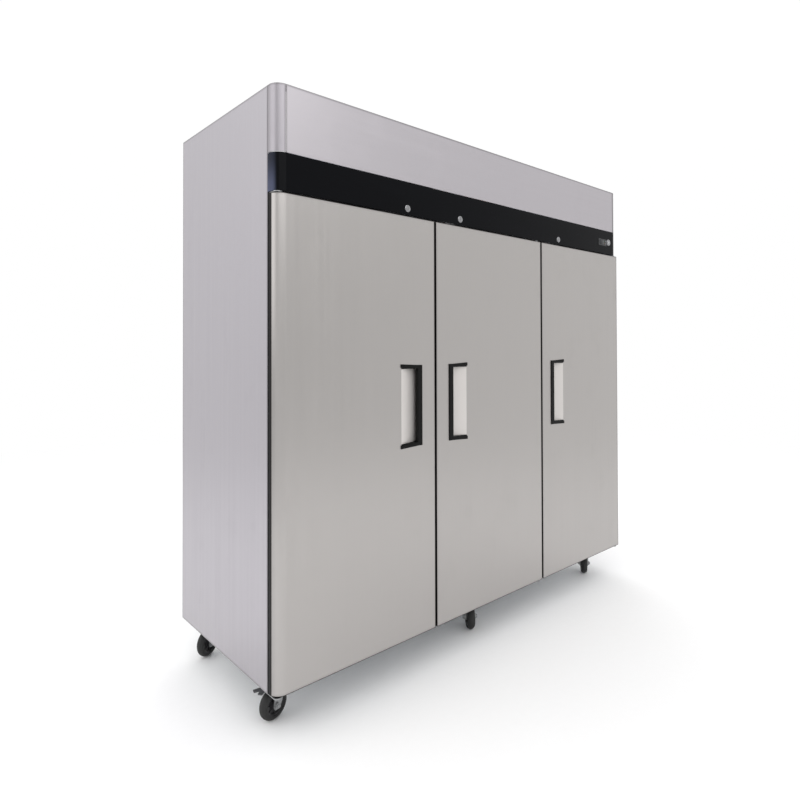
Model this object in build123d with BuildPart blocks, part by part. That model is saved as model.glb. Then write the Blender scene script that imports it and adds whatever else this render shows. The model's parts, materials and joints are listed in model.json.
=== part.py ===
"""Three-door reach-in refrigerator with top-mounted refrigeration, on six swivel casters.

Frame: +X to the right as seen from the front, +Y from the doors to the back, +Z up.
The origin is on the floor, under the middle of the whole object. Millimetres.
"""

import os

from build123d import *

# ---------------------------------------------------------------- driving dimensions
WIDTH = 1975.0
HEIGHT = 2000.0
DOOR_TO_BACK = 743.0
BASE_Z = 146.0  # underside of the cabinet above the floor
GRIP_PROUD = 4.0  # how far the door grips stand out of the doors
SPACER = 24.0  # wall spacers behind the back panel

DOOR_DEPTH = 41.0
FACE_DEPTH = 48.0  # from the door faces to the cabinet's face
DOOR_Z0 = BASE_Z + 3
DOOR_Z1 = 1667.0
DOOR_GAP = 9.0
OUTER_CORNER_R = 37.0
INNER_CORNER_R = 4.0
BACK_CORNER_R = 6.0
PIVOT = 18.0  # hinge axis from the door's hinge edge and from its face
PIN_R = 5.0
RUNNING = 0.05  # radial clearance of a running fit
SHEET = 1.2

BAND_Z0 = 1672.0
BAND_Z1 = 1790.0
FASCIA_Z0 = 1791.5
CAP_WIDTH = 36.0
DECK_Z = 1690.0  # underside of the machine deck

WALL = 60.0  # insulated side wall, skins included
CAVITY_Z0 = 208.0
CAVITY_Z1 = 1612.0
MULLION_WIDTH = 90.0
MULLION_DEPTH = 62.0
SEAM = 0.2  # gap between neighbouring panels that don't touch

WHEEL_R = 50.0
TRAIL = 32.0  # wheel contact behind the swivel axis
CASTER_INSET = 100.0
CASTER_FRONT = 150.0  # front swivel axes behind the door faces
CASTER_BACK = 51.0  # rear swivel axes before the back panel

# ---------------------------------------------------------------- derived places
RIGHT = WIDTH / 2
LEFT = -RIGHT
FRONT = -(DOOR_TO_BACK + SPACER + GRIP_PROUD) / 2 + GRIP_PROUD
FACE = FRONT + FACE_DEPTH
BACK = FRONT + DOOR_TO_BACK
CAVITY_BACK = BACK - WALL - 2
CAVITY_X = RIGHT - WALL
PITCH = WIDTH / 3
DOOR_H = DOOR_Z1 - DOOR_Z0

# name, door number from the left, which edge carries the hinge
DOORS = [("left", 0, -1), ("middle", 1, 1), ("right", 2, 1)]

# name, x, y, direction in degrees in which the wheel trails, has a brake
CASTERS = [
    ("front_left", LEFT + CASTER_INSET, FRONT + CASTER_FRONT, 192, True),
    ("front_middle", 0.0, FRONT + CASTER_FRONT, 235, False),
    ("front_right", RIGHT - CASTER_INSET, FRONT + CASTER_FRONT, 218, True),
    ("rear_left", LEFT + CASTER_INSET, BACK - CASTER_BACK, 208, False),
    ("rear_middle", 0.0, BACK - CASTER_BACK, 130, False),
    ("rear_right", RIGHT - CASTER_INSET, BACK - CASTER_BACK, 62, False),
]

os.makedirs("parts", exist_ok=True)


def save(shape, name):
    """Labels one finished piece and writes its STEP."""
    shape.label = name
    export_step(shape, f"parts/{name}.step")


def block(x, y, z, mode=Mode.ADD):
    """Adds or cuts a block given by its spans along X, Y and Z in the part being built."""
    with Locations(((x[0] + x[1]) / 2, (y[0] + y[1]) / 2, (z[0] + z[1]) / 2)):
        Box(x[1] - x[0], y[1] - y[0], z[1] - z[0], mode=mode)


def rod(start, end, radius, mode=Mode.ADD):
    """Adds or cuts a round rod between two points in the part being built."""
    along = Vector(*end) - Vector(*start)
    with BuildSketch(Plane(origin=start, z_dir=along)) as section:
        Circle(radius)
    extrude(section.sketch, amount=along.length, mode=mode)


# ---------------------------------------------------------------- outer shell
def side_panel():
    """Right-hand outer side sheet with its top flange turned inwards."""
    with BuildPart() as panel:
        block((RIGHT - SHEET, RIGHT), (FACE, BACK), (BASE_Z, HEIGHT))
        block((RIGHT - 20, RIGHT - SHEET), (FACE, BACK), (HEIGHT - SHEET, HEIGHT))
    return panel.part


right_side = side_panel()
with BuildPart() as left_side:
    mirror(right_side, about=Plane.YZ)
save(right_side, "right_side_panel")
save(left_side.part, "left_side_panel")

INSIDE_X = RIGHT - SHEET - SEAM  # half width between the side panels
PIPE_PASS = (320.0, FRONT + 420.0)  # where the pipe to the evaporator goes through the deck

with BuildPart() as base_pan:
    block((-INSIDE_X, INSIDE_X), (FACE + SHEET, BACK - SHEET - SEAM), (BASE_Z, BASE_Z + 1))
save(base_pan.part, "base_pan")

with BuildPart() as machine_deck:
    block((-INSIDE_X, INSIDE_X), (FACE + SHEET, BACK - SHEET - SEAM), (DECK_Z, DECK_Z + SHEET))
    with Locations((*PIPE_PASS, DECK_Z + SHEET / 2)):
        Cylinder(14, 3 * SHEET, mode=Mode.SUBTRACT)
save(machine_deck.part, "machine_deck")

with BuildPart() as back_panel:
    block((-INSIDE_X, INSIDE_X), (BACK - SHEET, BACK), (BASE_Z, HEIGHT - 60))
    with BuildSketch(Plane.XZ.offset(-BACK)) as vents:
        with Locations((0, 1815)):
            with GridLocations(105, 28, 16, 6):
                SlotOverall(80, 9)
    extrude(vents.sketch, amount=2 * SHEET, mode=Mode.SUBTRACT)
    for x in (-620, 620):
        for z in (420, 1500):
            block((x - 60, x + 60), (BACK + SEAM, BACK + SPACER), (z - 25, z + 25))
save(back_panel.part, "back_panel")


# ---------------------------------------------------------------- insulation and liner
foam_x = INSIDE_X
foam_y = (FACE + SHEET, BACK - SHEET - SEAM)
liner_x = CAVITY_X + 1
liner_back = CAVITY_BACK + 1
with BuildPart() as insulation:
    block((-foam_x, foam_x), foam_y, (BASE_Z + 1 + SEAM, CAVITY_Z0 - 1 - SEAM))
    block((-foam_x, foam_x), foam_y, (CAVITY_Z1 + 1 + SEAM, DECK_Z - SEAM))
    for side in (-1, 1):
        span = sorted((side * foam_x, side * (liner_x + SEAM)))
        block(span, foam_y, (CAVITY_Z0 - 1, CAVITY_Z1 + 1))
    block((-liner_x, liner_x), (liner_back + SEAM, foam_y[1]), (CAVITY_Z0 - 1, CAVITY_Z1 + 1))
save(insulation.part, "insulation_panels")

with BuildPart() as inner_liner:
    block((-liner_x, liner_x), (FACE, liner_back), (CAVITY_Z0 - 1, CAVITY_Z1 + 1))
    block((-INSIDE_X, INSIDE_X), (FACE, FACE + 1), (BASE_Z + SEAM, DECK_Z + SHEET))
    block((-CAVITY_X, CAVITY_X), (FACE - 1, CAVITY_BACK), (CAVITY_Z0, CAVITY_Z1), Mode.SUBTRACT)
    fillet(inner_liner.edges().filter_by(Axis.X).group_by(Axis.Y)[-2], 8)
save(inner_liner.part, "inner_liner")

with BuildPart() as mullion_posts:
    for x in (-PITCH / 2, PITCH / 2):
        with BuildSketch(Plane.XY.offset(CAVITY_Z0 + SEAM)) as tube:
            with Locations((x, FACE + MULLION_DEPTH / 2)):
                RectangleRounded(MULLION_WIDTH, MULLION_DEPTH, 3)
                RectangleRounded(MULLION_WIDTH - 2 * SHEET, MULLION_DEPTH - 2 * SHEET, 1.8,
                                 mode=Mode.SUBTRACT)
        extrude(tube.sketch, amount=CAVITY_Z1 - CAVITY_Z0 - 2 * SEAM)
save(mullion_posts.part, "mullion_posts")


# ---------------------------------------------------------------- front above the doors
def front_outline(inset):
    """Plan of everything at the front: as wide as the cabinet, with rounded outer corners."""
    with BuildSketch() as plan:
        with Locations((0, FRONT + inset + FACE_DEPTH)):
            Rectangle(WIDTH - 2 * inset, 2 * FACE_DEPTH)
        fillet(plan.vertices().group_by(Axis.Y)[0], OUTER_CORNER_R - inset)
        with Locations((0, FACE + FACE_DEPTH)):
            Rectangle(WIDTH, 2 * FACE_DEPTH, mode=Mode.SUBTRACT)
    return plan.sketch


LOCK_Z = 1695.0
LOCK_FROM_EDGE = 131.0
LOCK_R = 9.0
CONTROLLER_X = RIGHT - 137
CONTROLLER_Z = 1728.0
CONTROLLER_W, CONTROLLER_H = 71.0, 29.0
POWER_X = RIGHT - 78
POWER_Z = 1733.0
POWER_R = 13.0
BAND_T = 2.5


def door_span(number):
    """Left and right edges of one door."""
    x0 = LEFT + number * PITCH + (DOOR_GAP / 2 if number > 0 else 0)
    x1 = LEFT + (number + 1) * PITCH - (DOOR_GAP / 2 if number < 2 else 0)
    return x0, x1


def free_edge(number, hinge):
    return door_span(number)[0 if hinge > 0 else 1]


def lock_x(number, hinge):
    return free_edge(number, hinge) + hinge * LOCK_FROM_EDGE


def pivot_x(number, hinge):
    return door_span(number)[1 if hinge > 0 else 0] - hinge * PIVOT


with BuildPart() as control_band:
    extrude(Plane.XY.offset(BAND_Z0) * front_outline(0), amount=BAND_Z1 - BAND_Z0)
    extrude(Plane.XY.offset(BAND_Z0) * front_outline(BAND_T), amount=BAND_Z1 - BAND_Z0,
            mode=Mode.SUBTRACT)
    for _, number, hinge in DOORS:
        x = lock_x(number, hinge)
        rod((x, FRONT - 1, LOCK_Z), (x, FRONT + BAND_T + 1, LOCK_Z), LOCK_R + RUNNING, Mode.SUBTRACT)
    rod((POWER_X, FRONT - 1, POWER_Z), (POWER_X, FRONT + BAND_T + 1, POWER_Z),
        POWER_R + RUNNING, Mode.SUBTRACT)
    block((CONTROLLER_X - CONTROLLER_W / 2 - SEAM, CONTROLLER_X + CONTROLLER_W / 2 + SEAM),
          (FRONT - 1, FRONT + BAND_T + 1),
          (CONTROLLER_Z - CONTROLLER_H / 2 - SEAM, CONTROLLER_Z + CONTROLLER_H / 2 + SEAM),
          Mode.SUBTRACT)
save(control_band.part, "control_band")

with BuildPart() as fascia_panel:
    half = RIGHT - CAP_WIDTH - 1.5
    block((-half, half), (FRONT, FRONT + SHEET), (FASCIA_Z0, HEIGHT))
    block((-half, half), (FRONT, FRONT + FACE_DEPTH), (HEIGHT - SHEET, HEIGHT))
    block((-half, half), (FRONT, FRONT + 20), (FASCIA_Z0, FASCIA_Z0 + SHEET))
save(fascia_panel.part, "fascia_panel")

with BuildPart() as corner_caps:
    extrude(Plane.XY.offset(FASCIA_Z0) * front_outline(0), amount=HEIGHT - FASCIA_Z0)
    extrude(Plane.XY.offset(FASCIA_Z0) * front_outline(2), amount=HEIGHT - FASCIA_Z0 - 2,
            mode=Mode.SUBTRACT)
    block((LEFT + CAP_WIDTH, RIGHT - CAP_WIDTH), (FRONT - 1, FACE + 1), (FASCIA_Z0 - 1, HEIGHT + 1),
          Mode.SUBTRACT)
    block((LEFT, RIGHT), (FACE - 1, FACE + 1), (FASCIA_Z0 - 1, HEIGHT + 1), Mode.SUBTRACT)
save(corner_caps.part, "fascia_corner_caps")


# ---------------------------------------------------------------- controller, power button
KEY_W, KEY_H = 9.0, 7.0
KEY_X = CONTROLLER_X + 27
KEYS = [("key_up", KEY_X, CONTROLLER_Z + 6), ("key_down", KEY_X, CONTROLLER_Z - 6)]

with BuildPart() as controller:
    block((CONTROLLER_X - CONTROLLER_W / 2, CONTROLLER_X + CONTROLLER_W / 2), (FRONT, FRONT + 38),
          (CONTROLLER_Z - CONTROLLER_H / 2, CONTROLLER_Z + CONTROLLER_H / 2))
    with BuildSketch(Plane.XZ.offset(-FRONT)) as bezel:
        with Locations((CONTROLLER_X, CONTROLLER_Z)):
            RectangleRounded(CONTROLLER_W + 5, CONTROLLER_H + 5, 3)
    extrude(bezel.sketch, amount=2)
    with BuildSketch(Plane.XZ.offset(-FRONT + 2)) as window:
        with Locations((CONTROLLER_X - 8, CONTROLLER_Z)):
            RectangleRounded(46, 22, 2)
    extrude(window.sketch, amount=-1, mode=Mode.SUBTRACT)
    for _, x, z in KEYS:
        block((x - KEY_W / 2 - 0.3, x + KEY_W / 2 + 0.3), (FRONT - 3, FRONT + 6),
              (z - KEY_H / 2 - 0.3, z + KEY_H / 2 + 0.3), Mode.SUBTRACT)
save(controller.part, "controller_case")

for name, x, z in KEYS:
    with BuildPart() as key:
        block((x - KEY_W / 2, x + KEY_W / 2), (FRONT - 2.8, FRONT + 4.5), (z - KEY_H / 2, z + KEY_H / 2))
        fillet(key.edges().group_by(Axis.Y)[0], 0.6)
    save(key.part, f"controller_{name}")

with BuildPart() as power_button:
    rod((POWER_X, FRONT - 3, POWER_Z), (POWER_X, FRONT + 22, POWER_Z), POWER_R)
    rod((POWER_X, FRONT + BAND_T + 3.5, POWER_Z), (POWER_X, FRONT + BAND_T + 6, POWER_Z), POWER_R + 2)
    fillet(power_button.edges().group_by(Axis.Y)[0], 1.2)
save(power_button.part, "power_button")


# ---------------------------------------------------------------- door locks
CAM_LENGTH = 38.0
CAM_DEPTH = (16.0, 19.0)  # span of the cam behind the door faces

for name, number, hinge in DOORS:
    x = lock_x(number, hinge)
    with BuildPart() as lock:
        rod((x, FRONT - 2, LOCK_Z), (x, FRONT + CAM_DEPTH[0], LOCK_Z), LOCK_R)
        fillet(lock.edges().group_by(Axis.Y)[0], 1)
        rod((x, FRONT + CAM_DEPTH[0], LOCK_Z), (x, FRONT + CAM_DEPTH[1], LOCK_Z), 7)
        with BuildSketch(Plane.XZ.offset(-FRONT - CAM_DEPTH[0])) as cam:
            with Locations((x + hinge * CAM_LENGTH / 2 - hinge * 3, LOCK_Z)):
                SlotOverall(CAM_LENGTH + 6, 10)
        extrude(cam.sketch, amount=CAM_DEPTH[0] - CAM_DEPTH[1])
        block((x - 0.8, x + 0.8), (FRONT - 3, FRONT + 1), (LOCK_Z - 4.5, LOCK_Z + 4.5), Mode.SUBTRACT)
    save(lock.part, f"{name}_door_lock")


# ---------------------------------------------------------------- doors
GRIP_Z0, GRIP_Z1 = 836.0, 1130.0
GRIP_FROM_EDGE = 76.0  # centre of the upright bar from the door's free edge
GRIP_LEG = 90.0  # bar centre to leg ends
BAR_W, BAR_DEPTH = 22.0, 10.0
LEG_T, LEG_SPLAY = 13.0, 4.0
POCKET_DEPTH = 30.0
POCKET_END = 9.0  # pocket end behind the bar's centre line
SKIN_T = 1.0


def door_plan(number, inset, back):
    """Plan of a door: rounded at the cabinet's corner, nearly square elsewhere."""
    x0, x1 = door_span(number)
    front_r = [INNER_CORNER_R, INNER_CORNER_R]
    if number == 0:
        front_r[0] = OUTER_CORNER_R
    if number == 2:
        front_r[1] = OUTER_CORNER_R
    with BuildSketch() as plan:
        with Locations(((x0 + x1) / 2, FRONT + (inset + back) / 2)):
            Rectangle(x1 - x0 - 2 * inset, back - inset)
        low = plan.vertices().group_by(Axis.Y)[0].sort_by(Axis.X)
        high = plan.vertices().group_by(Axis.Y)[-1].sort_by(Axis.X)
        for corner, radius in zip(low, front_r):
            fillet(corner, radius - inset)
        fillet(high, BACK_CORNER_R - inset)
    return plan.sketch


def pocket_wedge(number, hinge, shift):
    """Plan of the hand pocket: flush at the leg ends, deepest behind the bar. Shift widens it."""
    bar = free_edge(number, hinge) + hinge * GRIP_FROM_EDGE
    tip = bar + hinge * (GRIP_LEG - 2)
    end = bar - hinge * POCKET_END
    with BuildSketch() as plan:
        with BuildLine():
            Polyline(
                (tip + hinge * shift * 4, FRONT - 1),
                (tip + hinge * shift * 4, FRONT),
                (end - hinge * shift, FRONT + POCKET_DEPTH + shift),
                (end - hinge * shift, FRONT - 1),
                close=True,
            )
        make_face()
    return plan.sketch


def door_skin(number, hinge):
    """Outer door sheet, folded back at all four edges and pressed in to form the hand pocket."""
    pocket_z = (GRIP_Z0 + 4, GRIP_Z1 - 4)
    pocket_h = pocket_z[1] - pocket_z[0]
    pivot = pivot_x(number, hinge)
    with BuildPart() as skin:
        extrude(Plane.XY.offset(DOOR_Z0) * door_plan(number, 0, DOOR_DEPTH), amount=DOOR_H)
        extrude(Plane.XY.offset(DOOR_Z0 + SKIN_T) * door_plan(number, SKIN_T, DOOR_DEPTH + 20),
                amount=DOOR_H - 2 * SKIN_T, mode=Mode.SUBTRACT)
        extrude(Plane.XY.offset(pocket_z[0] - SKIN_T) * pocket_wedge(number, hinge, SKIN_T),
                amount=pocket_h + 2 * SKIN_T)
        block((door_span(number)[0], door_span(number)[1]), (FRONT - 5, FRONT),
              (pocket_z[0] - 5, pocket_z[1] + 5), Mode.SUBTRACT)
        extrude(Plane.XY.offset(pocket_z[0]) * pocket_wedge(number, hinge, 0), amount=pocket_h,
                mode=Mode.SUBTRACT)
        for z in (DOOR_Z0, DOOR_Z1):
            rod((pivot, FRONT + PIVOT, z - 5), (pivot, FRONT + PIVOT, z + 5), PIN_R + 1, Mode.SUBTRACT)
        lock_slot(number, hinge, DOOR_Z1 - 5)
    return skin.part


def lock_slot(number, hinge, low):
    """Cuts the slot in the top of a door that the lock's cam turns down into."""
    x = lock_x(number, hinge)
    span = sorted((x - hinge * 10, x + hinge * 36))
    block(span, (FRONT + CAM_DEPTH[0] - 3, FRONT + CAM_DEPTH[1] + 3), (low, DOOR_Z1 + 5), Mode.SUBTRACT)


def door_core(number, hinge):
    """Foamed door body with its raised inner panel, bored for the hinge pins."""
    x0, x1 = door_span(number)
    pivot = pivot_x(number, hinge)
    inset = SKIN_T + SEAM
    margins = (70, 58) if hinge < 0 else (58, 70)
    with BuildPart() as core:
        extrude(Plane.XY.offset(DOOR_Z0 + inset) * door_plan(number, inset, DOOR_DEPTH),
                amount=DOOR_H - 2 * inset)
        block((x0 + margins[0], x1 - margins[1]), (FRONT + DOOR_DEPTH, FRONT + DOOR_DEPTH + 10),
              (DOOR_Z0 + 72, DOOR_Z1 - 72))
        block((x0 + margins[0] + 28, x1 - margins[1] - 28),
              (FRONT + DOOR_DEPTH + 2, FRONT + DOOR_DEPTH + 11),
              (DOOR_Z0 + 100, DOOR_Z1 - 100), Mode.SUBTRACT)
        extrude(Plane.XY.offset(GRIP_Z0 + 4 - inset) * pocket_wedge(number, hinge, inset),
                amount=GRIP_Z1 - GRIP_Z0 - 8 + 2 * inset, mode=Mode.SUBTRACT)
        for z in (DOOR_Z0 - 1, DOOR_Z1 - 25):
            rod((pivot, FRONT + PIVOT, z), (pivot, FRONT + PIVOT, z + 26), PIN_R + RUNNING,
                Mode.SUBTRACT)
        lock_slot(number, hinge, DOOR_Z1 - 16)
    return core.part


def door_gasket(number, hinge):
    """Magnetic gasket frame between the door and the cabinet's face."""
    x0, x1 = door_span(number)
    edges = (22, 8) if hinge < 0 else (8, 22)
    outer = (x0 + edges[0], x1 - edges[1])
    y = (FRONT + DOOR_DEPTH, FACE - 0.3)
    with BuildPart() as gasket:
        block(outer, y, (DOOR_Z0 + 10, DOOR_Z1 - 10))
        block((outer[0] + 16, outer[1] - 16), (y[0] - 1, y[1] + 1), (DOOR_Z0 + 26, DOOR_Z1 - 26),
              Mode.SUBTRACT)
        fillet(gasket.edges().filter_by(Axis.Y), 3)
    return gasket.part


def door_grip(number, hinge):
    """Black pull: an upright bar with an undercut behind it and two legs along the pocket."""
    bar = free_edge(number, hinge) + hinge * GRIP_FROM_EDGE
    half = BAR_W / 2
    with BuildPart() as grip:
        with BuildSketch(Plane.XZ.offset(-FRONT + GRIP_PROUD)) as outline:
            with BuildLine():
                Polyline(
                    (bar - hinge * half, GRIP_Z0),
                    (bar + hinge * half, GRIP_Z0),
                    (bar + hinge * GRIP_LEG, GRIP_Z0 - LEG_SPLAY),
                    (bar + hinge * GRIP_LEG, GRIP_Z0 - LEG_SPLAY + LEG_T),
                    (bar + hinge * half, GRIP_Z0 + LEG_T),
                    (bar + hinge * half, GRIP_Z1 - LEG_T),
                    (bar + hinge * GRIP_LEG, GRIP_Z1 + LEG_SPLAY - LEG_T),
                    (bar + hinge * GRIP_LEG, GRIP_Z1 + LEG_SPLAY),
                    (bar + hinge * half, GRIP_Z1),
                    (bar - hinge * half, GRIP_Z1),
                    close=True,
                )
            make_face()
            fillet(outline.vertices(), 2)
        extrude(outline.sketch, amount=-GRIP_PROUD)
        fillet(grip.edges().group_by(Axis.Y)[0], 2)
        inside = Plane.XY.offset(GRIP_Z0 + 4 + SEAM) * pocket_wedge(number, hinge, -SEAM)
        extrude(inside, amount=GRIP_Z1 - GRIP_Z0 - 8 - 2 * SEAM)
        span = sorted((bar - hinge * (POCKET_END - 3), bar + hinge * (GRIP_LEG + 20)))
        block(span, (FRONT + BAR_DEPTH, FRONT + POCKET_DEPTH + 5),
              (GRIP_Z0 + LEG_T, GRIP_Z1 - LEG_T), Mode.SUBTRACT)
        span = sorted((bar + hinge * half, bar + hinge * (GRIP_LEG + 20)))
        block(span, (FRONT - 10, FRONT + POCKET_DEPTH + 5), (GRIP_Z0 + LEG_T, GRIP_Z1 - LEG_T),
              Mode.SUBTRACT)
    return grip.part


for name, number, hinge in DOORS:
    save(door_skin(number, hinge), f"{name}_door_skin")
    save(door_core(number, hinge), f"{name}_door_core")
    save(door_gasket(number, hinge), f"{name}_door_gasket")
    save(door_grip(number, hinge), f"{name}_door_grip")


# ---------------------------------------------------------------- hinge brackets with their pins
LOWER_PLATE = (BASE_Z - 4, BASE_Z)
UPPER_PLATE = (DOOR_Z1 + 1.2, DOOR_Z1 + 4.2)


def hinge_bracket(x, upper):
    """A plate that reaches from the cabinet under or over a door, with the hinge pin on it."""
    plate_z = UPPER_PLATE if upper else LOWER_PLATE
    with BuildSketch(Plane.XY.offset(plate_z[0])) as plate:
        with Locations((x, (FRONT + PIVOT + FACE) / 2)):
            Rectangle(28, FACE - FRONT - PIVOT)
        with Locations((x, FRONT + PIVOT)):
            Circle(14)
        if not upper:
            with Locations((x, FACE + 25)):
                Rectangle(28, 50)
    extrude(plate.sketch, amount=plate_z[1] - plate_z[0])
    if upper:
        block((x - 14, x + 14), (FACE - 3, FACE), (plate_z[1], plate_z[1] + 16))
        rod((x, FRONT + PIVOT, DOOR_Z1 - 20), (x, FRONT + PIVOT, plate_z[0]), PIN_R)
    else:
        rod((x, FRONT + PIVOT, plate_z[1]), (x, FRONT + PIVOT, DOOR_Z0 + 20), PIN_R)


with BuildPart() as hinge_brackets:
    for _, number, hinge in DOORS:
        for upper in (False, True):
            hinge_bracket(pivot_x(number, hinge), upper)
save(hinge_brackets.part, "hinge_brackets")


# ---------------------------------------------------------------- shelves and their supports
SHELF_W, SHELF_D = 576.0, 540.0
SHELF_Z = (520.0, 830.0, 1140.0)
SHELF_FRONT = FACE + 72
SHELF_X = (-628.0, 0.0, 628.0)
FRAME_W, WIRE_W = 7.0, 3.4
WIRE_COUNT = 19


def wire_shelf():
    """One shelf about z = 0: a bent frame, three cross bars and wires from front to back on top."""
    y0, y1 = SHELF_FRONT, SHELF_FRONT + SHELF_D
    half = SHELF_W / 2 - FRAME_W
    pitch = 2 * half / (WIRE_COUNT + 1)
    with BuildPart() as shelf:
        with BuildSketch(Plane.XY.offset(-FRAME_W / 2)) as frame:
            with Locations((0, (y0 + y1) / 2)):
                RectangleRounded(SHELF_W, SHELF_D, 16)
                RectangleRounded(SHELF_W - 2 * FRAME_W, SHELF_D - 2 * FRAME_W, 16 - FRAME_W,
                                 mode=Mode.SUBTRACT)
        extrude(frame.sketch, amount=FRAME_W)
        for share in (0.25, 0.5, 0.75):
            y = y0 + share * (y1 - y0)
            block((-half - 1, half + 1), (y - 2.5, y + 2.5), (-3, 1.5))
        for number in range(WIRE_COUNT):
            x = (number + 1) * pitch - half
            block((x - WIRE_W / 2, x + WIRE_W / 2), (y0 + FRAME_W - 1, y1 - FRAME_W + 1),
                  (-0.5, WIRE_W - 0.5))
    return shelf.part


shelf = wire_shelf()
with BuildPart() as wire_shelves:
    for z in SHELF_Z:
        for x in SHELF_X:
            with Locations((x, 0, z)):
                add(shelf)
save(wire_shelves.part, "wire_shelves")

PILASTER_W, PILASTER_T = 16.0, 6.0
PILASTER_Z = (260.0, 1430.0)
CLIP_W, CLIP_REACH, CLIP_H = 22.0, 14.0, 10.0


def pilaster():
    """Slotted upright that faces -Y, with a clip under each shelf height. Its back is at y = 0."""
    middle = (PILASTER_Z[0] + PILASTER_Z[1]) / 2
    with BuildPart() as upright:
        block((-PILASTER_W / 2, PILASTER_W / 2), (-PILASTER_T, 0), PILASTER_Z)
        with BuildSketch(Plane.XZ.offset(PILASTER_T)) as slots:
            with Locations((0, middle)):
                with GridLocations(0, 50, 1, 23):
                    Rectangle(4, 14)
        extrude(slots.sketch, amount=-4, mode=Mode.SUBTRACT)
        for z in SHELF_Z:
            top = z - FRAME_W / 2 - 0.1
            block((-CLIP_W / 2, CLIP_W / 2), (-PILASTER_T - CLIP_REACH, -PILASTER_T + 3),
                  (top - CLIP_H, top))
    return upright.part


PILASTER_PLACES = [(x, CAVITY_BACK, 0) for x in (-904, -352, -293, 293, 352, 904)]
PILASTER_PLACES += [(x, FACE + MULLION_DEPTH, 180) for x in (-352, -293, 293, 352)]
PILASTER_PLACES += [(-CAVITY_X, FACE + 110, 90), (CAVITY_X, FACE + 110, -90)]
upright = pilaster()
with BuildPart() as pilasters:
    for x, y, turn in PILASTER_PLACES:
        with Locations(Location((x, y, 0), (0, 0, turn))):
            add(upright)
save(pilasters.part, "shelf_pilasters")


# ---------------------------------------------------------------- evaporator and lamps inside
COVER_X = 450.0
COVER_Y = (CAVITY_BACK - 360, CAVITY_BACK - 14)
COVER_Z = (1454.0, CAVITY_Z1 - 0.5)
FAN_X = (-220.0, 220.0)
FAN_Z = 1533.0
FAN_R = 68.0
EVAPORATOR_SHAFT_R = 4.0

with BuildPart() as cover:
    block((-COVER_X, COVER_X), COVER_Y, COVER_Z)
    block((-COVER_X + SHEET, COVER_X - SHEET), (COVER_Y[0] + SHEET, COVER_Y[1] + 5),
          (COVER_Z[0] + SHEET, COVER_Z[1] + 5), Mode.SUBTRACT)
    for x in FAN_X:
        rod((x, COVER_Y[0] - 5, FAN_Z), (x, COVER_Y[0] + 5, FAN_Z), FAN_R + 5, Mode.SUBTRACT)
save(cover.part, "evaporator_cover")

with BuildPart() as fan_motors:
    for x in FAN_X:
        y = COVER_Y[0]
        with BuildSketch(Plane.XZ.offset(-y + SEAM)) as guard:
            with Locations((x, FAN_Z)):
                for radius in (24, 38, 52, 66, FAN_R + 9):
                    Circle(radius)
                    Circle(radius - 3, mode=Mode.SUBTRACT)
                Circle(17)
                with PolarLocations(0, 3):
                    Rectangle(2 * FAN_R + 16, 3)
        extrude(guard.sketch, amount=2.5)
        rod((x, y - SEAM, FAN_Z), (x, y + 14, FAN_Z), 17)
        rod((x, y, FAN_Z), (x, y + 52, FAN_Z), EVAPORATOR_SHAFT_R)
save(fan_motors.part, "evaporator_fan_motors")


def fan_rotor(radius, shaft_r, hub_r, length, blades=5):
    """Axial fan rotor about Z from z = 0: a hub bored for its shaft, with pitched blades."""
    with BuildPart() as rotor:
        Cylinder(hub_r, length, align=(Align.CENTER, Align.CENTER, Align.MIN))
        with PolarLocations(hub_r - 2, blades):
            with Locations(Location((0, 0, length / 2), (35, 0, 0))):
                Box(0.97 * radius - hub_r, 0.55 * radius, 2.2,
                    align=(Align.MIN, Align.CENTER, Align.CENTER))
        Cylinder(shaft_r + RUNNING, 4 * length, mode=Mode.SUBTRACT)
    return rotor.part


for name, x in zip(("left", "right"), FAN_X):
    place = Plane(origin=(x, COVER_Y[0] + 18, FAN_Z), z_dir=(0, 1, 0)).location
    save(fan_rotor(FAN_R, EVAPORATOR_SHAFT_R, 18, 28).moved(place), f"{name}_evaporator_fan")

with BuildPart() as evaporator_coil:
    coil_y = (COVER_Y[0] + 130, COVER_Y[0] + 250)
    coil_z = (1474, 1594)
    block((-400, 400), coil_y, coil_z)
    for x in (-403, 401):
        block((x, x + 2), (coil_y[0] - 4, coil_y[1] + 4), (coil_z[0] - 6, CAVITY_Z1 - 1))
    for side in (-1, 1):
        for y in (coil_y[0] + 30, coil_y[1] - 30):
            for z in (1504, 1564):
                with BuildSketch(Plane.XZ.offset(-y)) as bend:
                    with Locations((side * 403, z)):
                        Circle(20)
                        Circle(11, mode=Mode.SUBTRACT)
                    Rectangle(2 * 402, 4000, mode=Mode.SUBTRACT)
                extrude(bend.sketch, amount=9)
save(evaporator_coil.part, "evaporator_coil")

with BuildPart() as lamps:
    for x in SHELF_X:
        block((x - 180, x + 180), (FACE + 84, FACE + 112), (CAVITY_Z1 - 16, CAVITY_Z1))
        fillet(lamps.edges().group_by(Axis.Z)[0].filter_by(Axis.X), 5)
save(lamps.part, "interior_lamps")


# ---------------------------------------------------------------- condensing unit on the deck
DECK = DECK_Z + SHEET
COMPRESSOR = (330.0, FRONT + 330.0)
COIL_X = (-330.0, -270.0)
COIL_Y = (FRONT + 130.0, FRONT + 530.0)
COIL_Z = (DECK, DECK + 262.0)
COIL_MIDDLE = (FRONT + 330.0, DECK + 135.0)
CONDENSER_FAN_R = 104.0
CONDENSER_SHAFT_R = 5.0

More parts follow.
